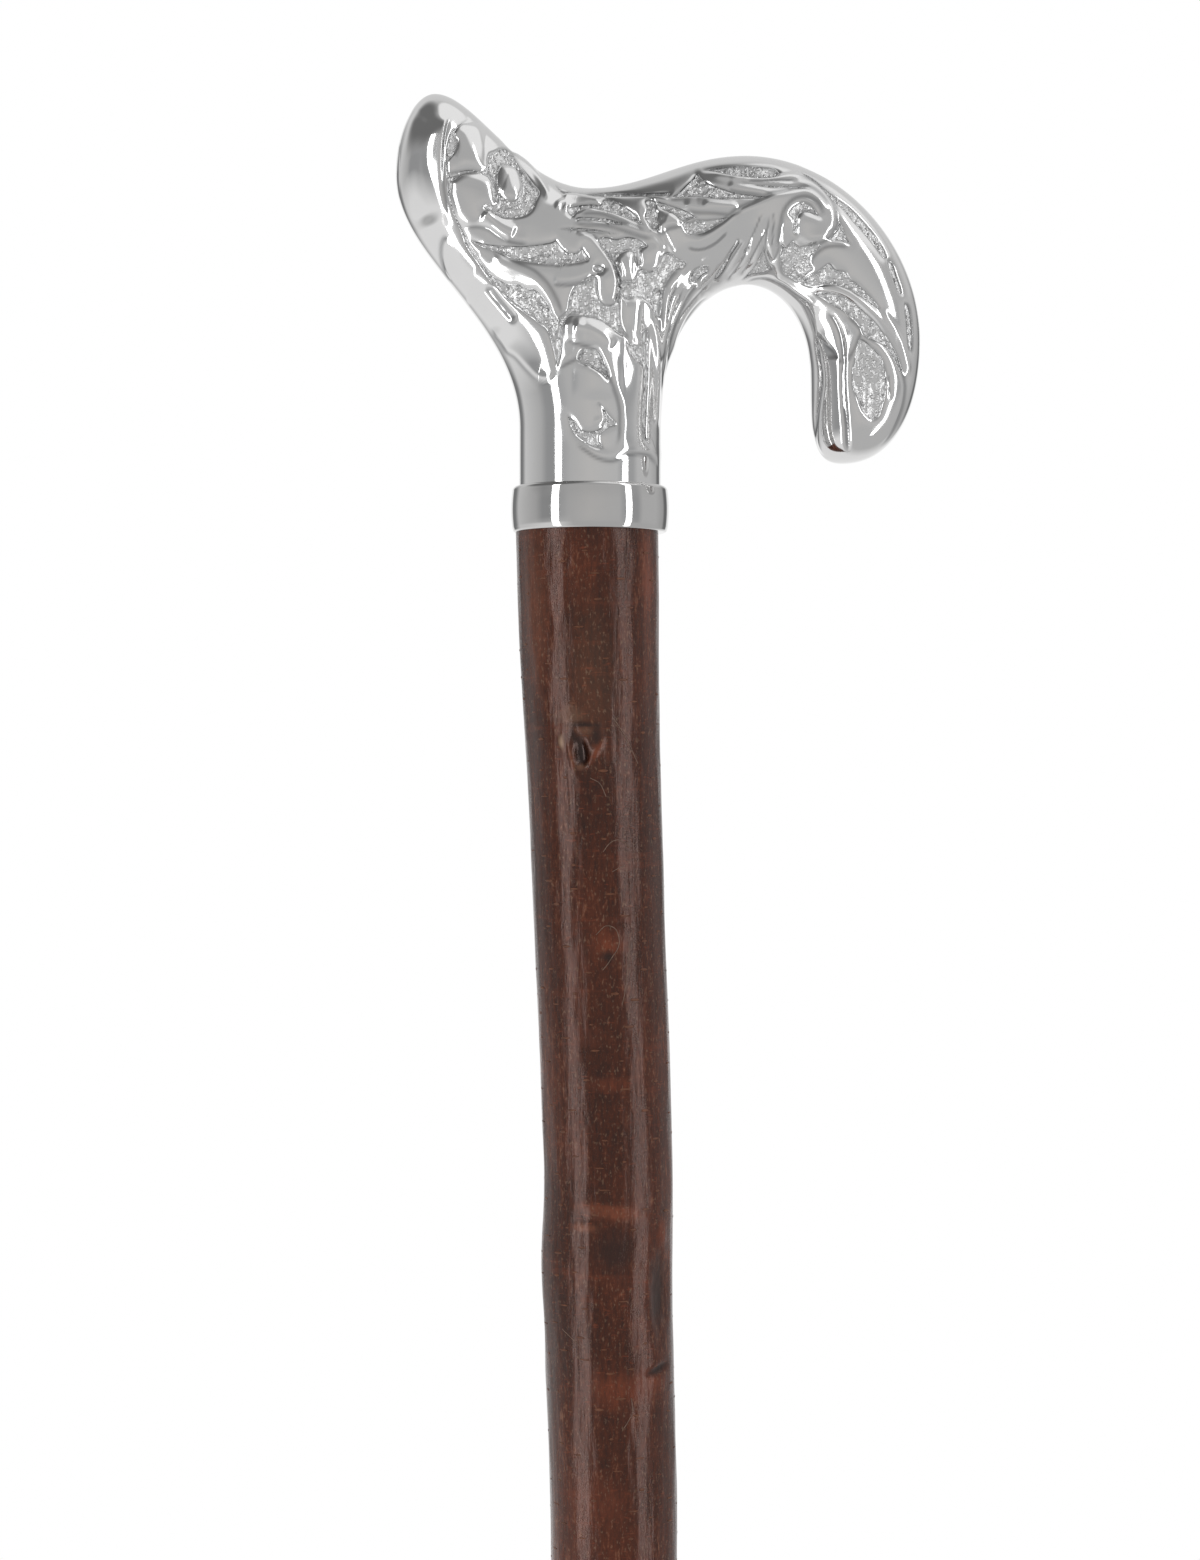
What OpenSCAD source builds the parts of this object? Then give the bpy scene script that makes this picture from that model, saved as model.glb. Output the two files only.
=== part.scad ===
// Derby-handled walking stick: a pressed and filled metal handle, a turned collar,
// a natural bark-on shaft and a push-on rubber ferrule.
// Millimetres, +Z up the stick, origin at the centre of the ferrule's sole.
// The nose of the handle points to +X, and the seam of its two halves lies in the XZ plane.

/* [Stick] */
// Overall height, from the ferrule's sole to the top of the beak
stick_h = 915; // [820:5:980]

/* [Handle outline] */
// Diameter of the round neck on the collar
neck_d = 27; // [24:0.5:29]
// Height of the neck's straight, plain base
neck_base_h = 11; // [8:0.5:14]
// Height of the finger arch above the collar
arch_h = 38.4; // [35:0.2:42]
// Height of the saddle, the low point of the top edge
saddle_h = 56.6; // [53:0.2:60]
// Height of the crown over the arch
crown_h = 62.7; // [60:0.2:67]
// Height of the beak's crest
beak_h = 74.5; // [70:0.5:80]
// How far the beak's front stands out from the neck's axis
beak_reach = 36.9; // [33:0.1:42]
// Clear space for the fingers between neck and nose
finger_gap = 28.2; // [25:0.2:34]
// Width of the nose, seen from the side
nose_w = 21; // [18:0.5:24]
// Height of the nose's lower end above the collar
nose_end_h = 4.4; // [2:0.2:10]

/* [Handle thickness] */
// Thickness of the beak, from side to side
beak_t = 21; // [17:0.5:24]
// Thickness of the grip over the arch
grip_t = 24; // [20:0.5:26]
// Thickness of the nose
nose_t = 19; // [15:0.5:23]
// Wall of the two pressed half shells
shell_wall = 0.8; // [0.5:0.1:1.2]
// Film of cement between a shell and the filling
cement_gap = 0.4; // [0.3:0.05:0.6]

/* [Collar] */
// Widest diameter of the collar
collar_d = 30; // [29:0.5:34]
// Height of the collar
collar_h = 8.7; // [7:0.1:12]
// Thickness of the collar's top web, between neck and shaft
collar_web = 1.7; // [1.2:0.1:2.5]
// How far the collar's side swells between its edges
collar_bulge = 0.35; // [0.1:0.05:0.8]
// Radius on the collar's upper edge
collar_round = 0.9; // [0.4:0.1:1.2]

/* [Neck joint] */
// Diameter of the joining stud
stud_d = 8; // [6:0.5:10]
// Length of the stud in the handle's bush
stud_in_handle = 24; // [18:1:28]
// Length of the stud in the shaft
stud_in_shaft = 45; // [30:1:60]
// Outer diameter of the threaded bush
bush_d = 14; // [12.5:0.5:16]
// Length of the threaded bush
bush_len = 26; // [20:1:30]
// Thickness of the plate that closes the neck
plate_t = 1.6; // [1:0.1:2.5]
// Radial clearance of the fitted pieces
fit_gap = 0.15; // [0.1:0.05:0.25]

/* [Shaft] */
// Diameter of the shaft right under the collar
shaft_top_d = 26.8; // [24.5:0.1:27.5]
// Diameter of the shaft's body, extended to the collar
shaft_body_d = 25.1; // [23:0.1:26]
// Diameter of the shaft at its foot
shaft_foot_d = 21; // [20.6:0.1:24]
// Length over which the swelling under the collar dies away
swell_len = 30; // [20:1:50]
// Diameter of the turned tenon in the collar
tenon_d = 20; // [16:0.5:22]
// How far the shaft is out of round, as a share of its radius
oval = 0.012; // [0:0.002:0.03]
// Height of the swellings at the knots
knot_h = 0.6; // [0:0.1:1.2]

/* [Ferrule] */
// Diameter of the turned spigot, the ferrule's nominal size
spigot_d = 19; // [16:0.5:19.5]
// Depth of the ferrule's socket
socket_depth = 31; // [24:1:40]
// Thickness of rubber under the socket
sole_t = 9; // [7:0.5:14]
// Diameter of the ferrule's foot
foot_d = 38; // [34:1:44]
// Height of the foot's upright rim
foot_rim_h = 6; // [4:0.5:9]
// Wall of the ferrule's sleeve
sleeve_wall = 3.6; // [2.8:0.1:5]
// Thickness of the steel washer in the socket
washer_t = 1.6; // [1:0.1:2.5]
// Radial clearance of the spigot in the socket
socket_gap = 0.05; // [0.02:0.01:0.1]

/* [Hidden] */

// Heights in the stick's frame
collar_top = stick_h - beak_h;
collar_foot = collar_top - collar_h;
spigot_foot = sole_t + washer_t;
ferrule_top = sole_t + socket_depth;
shaft_foot = ferrule_top + 0.4;
shaft_len = collar_foot - shaft_foot;

// Knots of the handle's outline, [x, z] from the middle of the neck's foot
neck_r = neck_d / 2;
nose_in = neck_r + finger_gap;
nose_out = nose_in + nose_w;
beak_crest = [-beak_reach + 7.4, beak_h];
beak_front = [-beak_reach, beak_h - 15.5];
neck_left = [-neck_r, neck_base_h];
neck_right = [neck_r, neck_base_h];
arch_top = [neck_r + 0.585 * finger_gap, arch_h];
saddle = [0, saddle_h];
crown = [arch_top.x - 0.5, crown_h];
nose_front = [nose_out, nose_end_h + 0.4 * (crown_h - nose_end_h)];
nose_back = [nose_in, nose_end_h + 0.52 * (arch_h - nose_end_h)];
nose_end = [nose_in + 0.3 * nose_w, nose_end_h];

RIGHT = [1, 0];
LEFT = [-1, 0];
UP = [0, 1];
DOWN = [0, -1];

// One stretch of outline: from p, leaving along a, to q, arriving along b.
// The pulls are the lengths of the curve's handles, as shares of the span in their direction.
function stretch(p, a, pull_a, q, b, pull_b) =
    [p, p + a * pull_a * abs((q - p) * a), q - b * pull_b * abs((q - p) * b), q];

top_edge = [
    stretch(beak_crest, RIGHT, 0.27, saddle, RIGHT, 0.44),
    stretch(saddle, RIGHT, 0.37, crown, RIGHT, 0.41),
    stretch(crown, RIGHT, 0.54, nose_front, DOWN, 0.52),
    stretch(nose_front, DOWN, 0.59, nose_end, LEFT, 0.65)
];
beak_tip_edge = stretch(beak_crest, LEFT, 0.47, beak_front, DOWN, 0.58);
beak_under_edge = stretch(beak_front, DOWN, 0.33, neck_left, DOWN, 0.43);
neck_left_edge = stretch(neck_left, DOWN, 1 / 3, [-neck_r, 0], DOWN, 1 / 3);
neck_right_edge = stretch([neck_r, 0], UP, 1 / 3, neck_right, UP, 1 / 3);
arch_edge = stretch(neck_right, UP, 0.6, arch_top, RIGHT, 0.55);
nose_back_edge = stretch(arch_top, RIGHT, 0.55, nose_back, DOWN, 0.55);
nose_tip_edge = stretch(nose_back, DOWN, 0.68, nose_end, RIGHT, 1.05);

// Panels of the pressing, from the beak's tip to the nose's tip. Each runs along one stretch of the
// lower edge (undef is the open foot of the neck) and a range of the top edge, in a number of steps.
PANELS = [
    [beak_tip_edge, 0, 0.28, 10],
    [beak_under_edge, 0.28, 0.86, 14],
    [neck_left_edge, 0.86, 0.95, 4],
    [undef, 0.95, 1.06, 12],
    [neck_right_edge, 1.06, 1.13, 4],
    [arch_edge, 1.13, 2, 12],
    [nose_back_edge, 2, 3, 12],
    [nose_tip_edge, 3, 4, 10]
];
FIRST_NOSE_PANEL = 6;
ACROSS = 14;
BLEND = 5;

// The grip's own lower edge, where it crosses the neck
grip_floor = arch_h - 4;
// Chord of the outline under which the rounding of the beak's and the nose's tips begins
tip_chord = 22;

function bezier(c, t) =
    let (s = 1 - t) c[0] * s * s * s + c[1] * 3 * s * s * t + c[2] * 3 * s * t * t + c[3] * t * t * t;
function bezier_slope(c, t) =
    let (s = 1 - t) (c[1] - c[0]) * 3 * s * s + (c[2] - c[1]) * 6 * s * t + (c[3] - c[2]) * 3 * t * t;
function unit(v) = norm(v) > 0 ? v / norm(v) : v;
function turn_left(v) = [-v.y, v.x];
function ease(t) = (1 - cos(180 * min(1, max(0, t)))) / 2;
function between(a, b, t) = a + (b - a) * t;

// Where a falling or rising curve crosses the height z, by halving
function at_height(c, z, lo = 0, hi = 1, turns = 22) =
    let (mid = (lo + hi) / 2, rising = c[3].y > c[0].y)
    turns == 0 ? mid
    : (bezier(c, mid).y < z) == rising ? at_height(c, z, mid, hi, turns - 1)
    : at_height(c, z, lo, mid, turns - 1);
// The curve's x there, moved level by what an inset square to the curve comes to
function side_at(c, z, inset) =
    let (t = at_height(c, z), along = bezier_slope(c, t))
    bezier(c, t).x + inset * norm(along) / max(0.2 * norm(along), abs(along.y));

function neck_side_left(z, inset) =
    z <= neck_base_h ? inset - neck_r : side_at(beak_under_edge, min(z, beak_front.y), inset);
function neck_side_right(z, inset) =
    z <= neck_base_h ? neck_r - inset : side_at(arch_edge, min(z, 0.95 * arch_h), -inset);

// Half the handle's thickness as the top edge runs from the beak to the nose
function half_thickness(t) =
    t < 0.3 ? beak_t / 2
    : t < 1 ? between(beak_t, grip_t, ease((t - 0.3) / 0.7)) / 2
    : t < 2 ? grip_t / 2
    : between(grip_t, nose_t, ease(t - 2)) / 2;

// Height of the neck's column over the seam plane. It fades out inside the grip.
function neck_column(x, z, inset) =
    let (
        left = neck_side_left(z, inset),
        right = neck_side_right(z, inset),
        fade = 1 - ease((z - arch_h + 2) / (saddle_h - arch_h + 2)),
        inside = max(0, (x - left) * (right - x))
    )
    fade * (neck_r - inset) * 2 / (right - left) * sqrt(inside);

// One point of the pressing, v of the way down a chord from the top edge to the lower edge
function chord_point(top, low, v, half_t, nose, on_seam, inset) =
    let (
        p = between(top, low, v),
        floor_z = nose ? low.y : max(low.y, grip_floor),
        share = nose ? v : v * (top.y - low.y) / (top.y - floor_z),
        dome = share >= 1 ? 0 : 2 * sqrt(share * (1 - share)),
        tip = sin(90 * min(1, norm(top - low) / tip_chord)),
        grip = max(0, half_t - inset) * tip * dome,
        neck = nose ? 0 : neck_column(p.x, p.y, inset)
    )
    [p.x, on_seam ? 0 : pow(pow(grip, BLEND) + pow(neck, BLEND), 1 / BLEND), p.y];

function top_at(t, inset) =
    let (k = min(3, floor(t)), c = top_edge[k], f = t - k)
    bezier(c, f) - turn_left(unit(bezier_slope(c, f))) * inset;
function low_at(c, f, inset) =
    c == undef ? [-(neck_r - inset) * cos(180 * f), 0]
    : let (p = bezier(c, f) + turn_left(unit(bezier_slope(c, f))) * inset) [p.x, max(0, p.y)];

// Both tips are single points, and the rows between them run across the pressing.
// A share under 1 thins the rows out for a piece that doesn't show.
function row_steps(panel, share) = max(2, round(panel[3] * share));
function pressing(inset, share = 1) =
    let (across = max(4, round(ACROSS * share)))
    [for (k = [0 : len(PANELS) - 1])
        let (panel = PANELS[k], steps = row_steps(panel, share))
        for (i = [(k == 0 ? 1 : 0) : steps - 1])
            let (
                f = i / steps,
                t = between(panel[1], panel[2], f),
                top = top_at(t, inset),
                low = low_at(panel[0], f, inset)
            )
            [for (j = [0 : across])
                let (on_seam = j == 0 || (j == across && (panel[0] != undef || i == 0)))
                chord_point(top, low, (1 - cos(180 * j / across)) / 2, half_thickness(t),
                            k >= FIRST_NOSE_PANEL, on_seam, inset)]];
function first_tip(inset) = [beak_crest.x, 0, beak_crest.y - inset];
function last_tip(inset) = [nose_end.x, 0, nose_end.y + inset];

function mirrored(points) = [for (p = points) [p.x, -p.y, p.z]];
function flat_list(rows) = [for (row = rows) each row];

// Faces of a skin of rows between two tips, whose points start at index base: tip, rows, tip
function skin_faces(base, rows, across, flip) =
    let (
        w = across + 1,
        last = base + 1 + rows * w,
        faces = [
            for (j = [0 : across - 1]) [base, base + 1 + j, base + 2 + j],
            for (i = [0 : rows - 2], j = [0 : across - 1])
                let (a = base + 1 + i * w + j, b = a + w)
                each [[a, b, b + 1], [a, b + 1, a + 1]],
            for (j = [0 : across - 1])
                let (a = last - w + j) [last, a + 1, a]
        ]
    )
    [for (f = faces) flip ? [f[2], f[1], f[0]] : f];

// The strip that joins the edge j of two skins with the same rows
function rim_faces(base_a, base_b, rows, across, j, flip) =
    let (
        w = across + 1,
        ring = function (base) [base, for (i = [0 : rows - 1]) base + 1 + i * w + j, base + 1 + rows * w],
        a = ring(base_a),
        b = ring(base_b),
        faces = [for (i = [0 : rows]) each [[a[i], b[i], b[i + 1]], [a[i], b[i + 1], a[i + 1]]]]
    )
    [for (f = faces) flip ? [f[2], f[1], f[0]] : f];

// One pressed half of the handle, on the +Y side of the seam
module half_shell() {
    outer = pressing(0);
    inner = pressing(shell_wall);
    rows = len(outer);
    points = concat([first_tip(0)], flat_list(outer), [last_tip(0)],
                    [first_tip(shell_wall)], flat_list(inner), [last_tip(shell_wall)]);
    inner_base = 2 + rows * (ACROSS + 1);
    polyhedron(points, concat(
        skin_faces(0, rows, ACROSS, true),
        skin_faces(inner_base, rows, ACROSS, false),
        rim_faces(0, inner_base, rows, ACROSS, 0, true),
        rim_faces(0, inner_base, rows, ACROSS, ACROSS, false)));
}

// The closed form inside both halves, down to the neck's foot
module filling_form(inset) {
    share = 0.5;
    rows_of_points = pressing(inset, share);
    rows = len(rows_of_points);
    across = len(rows_of_points[0]) - 1;
    one_side = concat([first_tip(inset)], flat_list(rows_of_points), [last_tip(inset)]);
    base = len(one_side);
    // Both sides share their points on the seam, and faces that shrink to a line there are left out
    shared = concat([for (i = [0 : base - 1]) i],
                    [for (i = [0 : base - 1]) abs(one_side[i].y) < 0.0001 ? i : base + i]);
    faces = concat(
        skin_faces(0, rows, across, true),
        skin_faces(base, rows, across, false),
        rim_faces(0, base, rows, across, across, false));
    polyhedron(concat(one_side, mirrored(one_side)), [for (f = faces)
        let (g = [shared[f[0]], shared[f[1]], shared[f[2]]])
        if (g[0] != g[1] && g[1] != g[2] && g[2] != g[0]) g]);
}

module handle_back_shell() {
    color("gainsboro") translate([0, 0, collar_top]) half_shell();
}

module handle_front_shell() {
    color("gainsboro") translate([0, 0, collar_top]) mirror([0, 1, 0]) half_shell();
}

module handle_filling() {
    color("tan") translate([0, 0, collar_top]) difference() {
        filling_form(shell_wall + cement_gap);
        translate([0, 0, -1]) cylinder(d = neck_d + 2, h = plate_t + 1);
        cylinder(d = bush_d + 2 * fit_gap, h = plate_t + bush_len + fit_gap);
    }
}

module neck_plate() {
    color("silver") translate([0, 0, collar_top]) difference() {
        cylinder(d = neck_d - 2 * (shell_wall + cement_gap), h = plate_t, $fn = 96);
        translate([0, 0, -1]) cylinder(d = stud_d + 2 * fit_gap, h = plate_t + 2, $fn = 48);
    }
}

module threaded_bush() {
    color("goldenrod") translate([0, 0, collar_top + plate_t]) difference() {
        cylinder(d = bush_d, h = bush_len, $fn = 64);
        translate([0, 0, -1]) cylinder(d = stud_d + 2 * fit_gap, h = bush_len + 2, $fn = 48);
    }
}

module joining_stud() {
    point = 1;
    color("dimgray") translate([0, 0, collar_foot - stud_in_shaft]) rotate_extrude($fn = 48) polygon([
        [0, 0], [stud_d / 2 - point, 0], [stud_d / 2, point],
        [stud_d / 2, stud_in_shaft + collar_h + stud_in_handle - point],
        [stud_d / 2 - point, stud_in_shaft + collar_h + stud_in_handle],
        [0, stud_in_shaft + collar_h + stud_in_handle]]);
}

module collar() {
    arc_steps = 8;
    side = function (t) collar_d / 2 - collar_bulge * pow(2 * t - 1, 2);
    shoulder = collar_h - collar_round;
    color("gainsboro") translate([0, 0, collar_foot]) rotate_extrude($fn = 128) polygon(concat(
        [[tenon_d / 2 + fit_gap, 0]],
        [for (i = [0 : arc_steps]) let (t = i / arc_steps) [side(t * shoulder / collar_h), t * shoulder]],
        [for (i = [1 : arc_steps]) let (a = 90 * i / arc_steps)
            [side(shoulder / collar_h) - collar_round * (1 - cos(a)), shoulder + collar_round * sin(a)]],
        [[stud_d / 2 + fit_gap, collar_h],
         [stud_d / 2 + fit_gap, collar_h - collar_web],
         [tenon_d / 2 + fit_gap, collar_h - collar_web]]));
}

// How the natural shaft wanders from the straight: [share of its length from the collar, x, y]
CROOK = [[0, -0.6, 0], [0.03, -0.1, 0], [0.09, 1.7, 0.2], [0.15, 3.4, 0.5], [0.18, 3.5, 0.7], [0.24, 4.5, 1],
         [0.4, 6.4, 1.6], [0.6, 5, 2.6], [0.8, 2, 1.4], [0.95, 0, 0], [1, 0, 0]];
// Knots: [share of the length, direction, share of the knots' height, length of the swelling]
KNOTS = [[0.052, -103, 1, 7], [0.101, -80, 0.7, 6], [0.175, 178, 1, 9], [0.2, -38, 0.8, 8], [0.285, 80, 1.3, 10],
         [0.36, -140, 1.1, 9], [0.44, -20, 1.4, 10], [0.52, 120, 1.2, 9], [0.6, -95, 1, 8], [0.68, 30, 1.3, 9],
         [0.77, -160, 1.1, 8], [0.86, -55, 1, 8]];
SHAFT_SIDES = 28;
SHAFT_RINGS = 52;

function slope_of(list, i, k) =
    let (a = max(0, i - 1), b = min(len(list) - 1, i + 1))
    (list[b][k] - list[a][k]) / (list[b][0] - list[a][0]);
function span_of(list, f, i = 0) =
    i >= len(list) - 2 || f < list[i + 1][0] ? i : span_of(list, f, i + 1);
// A smooth curve through the rows of a list, read at f of its first column
function curve_at(list, f, k) =
    let (
        i = span_of(list, f),
        w = list[i + 1][0] - list[i][0],
        t = (f - list[i][0]) / w,
        a = list[i][k],
        b = list[i + 1][k],
        sa = slope_of(list, i, k) * w,
        sb = slope_of(list, i + 1, k) * w
    )
    a + sa * t + (3 * (b - a) - 2 * sa - sb) * t * t + (2 * (a - b) + sa + sb) * t * t * t;

function angle_apart(a, b) = abs((a - b + 900) % 360 - 180);
function knot_swelling(f, angle) =
    knot_h * max([for (k = KNOTS)
        let (along = (f - k[0]) * shaft_len / k[3], around = angle_apart(angle, k[1]) / 32)
        k[2] * exp(-along * along - around * around)]);
function shaft_radius(f, angle) =
    let (depth = f * shaft_len)
    between(shaft_body_d, shaft_foot_d, f) / 2
    + (shaft_top_d - shaft_body_d) / 2 * exp(-pow(depth / swell_len, 2))
    + oval * shaft_foot_d / 2 * cos(2 * (angle - 220 * f))
    + knot_swelling(f, angle);

module bark_shaft() {
    // Rings lie closer together near the collar, where the swelling is
    shares = [for (i = [0 : SHAFT_RINGS]) pow(i / SHAFT_RINGS, 1.15)];
    points = [for (f = shares, j = [0 : SHAFT_SIDES - 1])
        let (angle = 360 * j / SHAFT_SIDES, r = shaft_radius(f, angle))
        [curve_at(CROOK, f, 1) + r * cos(angle), curve_at(CROOK, f, 2) + r * sin(angle),
         collar_foot - f * shaft_len]];
    n = SHAFT_SIDES;
    polyhedron(points, concat(
        [[for (j = [0 : n - 1]) n - 1 - j]],
        [for (i = [0 : SHAFT_RINGS - 1], j = [0 : n - 1])
            let (a = i * n + j, b = i * n + (j + 1) % n)
            each [[a, b, b + n], [a, b + n, a + n]]],
        [[for (j = [0 : n - 1]) SHAFT_RINGS * n + j]]));
}

module shaft() {
    root = 6;
    tenon_h = collar_h - collar_web - fit_gap;
    color("saddlebrown") difference() {
        union() {
            bark_shaft();
            translate([0, 0, collar_foot - root]) cylinder(d = tenon_d, h = root + tenon_h, $fn = 64);
            translate([0, 0, spigot_foot])
                cylinder(d = spigot_d, h = shaft_foot + root - spigot_foot, $fn = 64);
        }
        translate([0, 0, collar_foot - stud_in_shaft - fit_gap])
            cylinder(d = stud_d + 2 * fit_gap, h = stud_in_shaft + collar_h, $fn = 48);
    }
}

module ferrule() {
    bore_r = spigot_d / 2 + socket_gap;
    sleeve_r = bore_r + sleeve_wall;
    foot_r = foot_d / 2;
    rim_edge = 1;
    bead = 1.2;
    groove = 1.4;
    // Tread of the sole: a middle pad and two rings
    pad_r = foot_r * 0.3;
    ring_in = foot_r * 0.42;
    ring_out = foot_r * 0.64;
    rim_in = foot_r * 0.76;
    bell_top = foot_rim_h + 10;
    arc_steps = 8;
    color("#2b2b2d") rotate_extrude($fn = 128) polygon(concat(
        [[0, 0], [pad_r, 0], [pad_r, groove], [ring_in, groove], [ring_in, 0],
         [ring_out, 0], [ring_out, groove], [rim_in, groove], [rim_in, 0],
         [foot_r - rim_edge, 0], [foot_r, rim_edge], [foot_r, foot_rim_h]],
        // The bell sweeps in from the rim to the sleeve on a quarter round
        [for (i = [1 : arc_steps]) let (a = 90 * i / arc_steps)
            [foot_r - (foot_r - sleeve_r) * sin(a), bell_top - (bell_top - foot_rim_h) * cos(a)]],
        // Two moulded beads stiffen the sleeve
        [for (z = [bell_top + 3, ferrule_top - 6], i = [0 : arc_steps]) let (a = 180 * i / arc_steps)
            [sleeve_r + bead * sin(a), z + bead * 1.5 * (1 - cos(a))]],
        [[sleeve_r, ferrule_top - rim_edge], [sleeve_r - rim_edge, ferrule_top],
         [bore_r, ferrule_top], [bore_r, sole_t], [0, sole_t]]));
}

module ferrule_washer() {
    color("lightslategray") translate([0, 0, sole_t])
        cylinder(d = spigot_d - 2 * fit_gap, h = washer_t, $fn = 64);
}

handle_front_shell();
handle_back_shell();
handle_filling();
neck_plate();
threaded_bush();
joining_stud();
collar();
shaft();
ferrule();
ferrule_washer();
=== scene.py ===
"""Looks of a derby-handled walking stick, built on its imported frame.

A pressed and plated handle with leaf scrollwork on a matted ground, a polished collar,
a varnished shaft with its bark on, and a moulded rubber ferrule.
"""

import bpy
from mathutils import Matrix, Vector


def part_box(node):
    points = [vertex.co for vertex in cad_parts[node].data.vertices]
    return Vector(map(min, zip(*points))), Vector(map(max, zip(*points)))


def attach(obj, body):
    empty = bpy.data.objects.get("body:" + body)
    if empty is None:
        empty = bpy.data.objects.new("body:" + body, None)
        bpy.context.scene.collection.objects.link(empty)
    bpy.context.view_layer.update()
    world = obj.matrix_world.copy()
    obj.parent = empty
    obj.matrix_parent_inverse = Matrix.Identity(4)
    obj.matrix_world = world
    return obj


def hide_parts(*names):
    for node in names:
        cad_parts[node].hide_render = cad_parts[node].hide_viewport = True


bl_info = {
    "name": "Derby walking stick",
    "version": (1, 0, 0),
    "blender": (4, 5, 0),
    "location": "View3D > Sidebar > Stick",
    "description": "Dresses the packed walking stick: scrolled handle, collar, bark shaft and ferrule",
    "category": "Object",
}

import math

import bpy
import numpy as np
from bpy.props import FloatProperty, FloatVectorProperty, IntProperty, PointerProperty
from bpy.types import Operator, Panel, PropertyGroup

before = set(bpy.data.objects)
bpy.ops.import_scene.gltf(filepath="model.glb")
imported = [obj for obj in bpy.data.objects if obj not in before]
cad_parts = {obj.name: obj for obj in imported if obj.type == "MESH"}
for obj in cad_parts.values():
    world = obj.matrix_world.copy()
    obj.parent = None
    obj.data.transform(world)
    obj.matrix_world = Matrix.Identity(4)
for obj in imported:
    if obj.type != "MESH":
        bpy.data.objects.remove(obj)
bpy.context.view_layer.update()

MM = 0.001

# The photo's view. Its pixels are measured in the seam plane of the handle.
PHOTO_MM = 0.19            # millimetres in one pixel
PHOTO_ORIGIN = (590, 487)  # pixel of the neck's axis at the top of the collar
CAMERA_MM = (1.9, -666.0, -55.7)  # from the middle of the neck's foot

# Whole numbers that scatter the cells of the smooth noise
CELL_PRIMES = (73856093, 19349663, 83492791)
SEED_PRIME = 2654435761
SCATTER = ((15, 2246822519), (13, 3266489917))
WORD = 0xFFFFFFFF

QUARTER = math.pi / 2
SHARP_BEND = 30  # degrees above which a turned profile has a sharp edge

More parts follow.
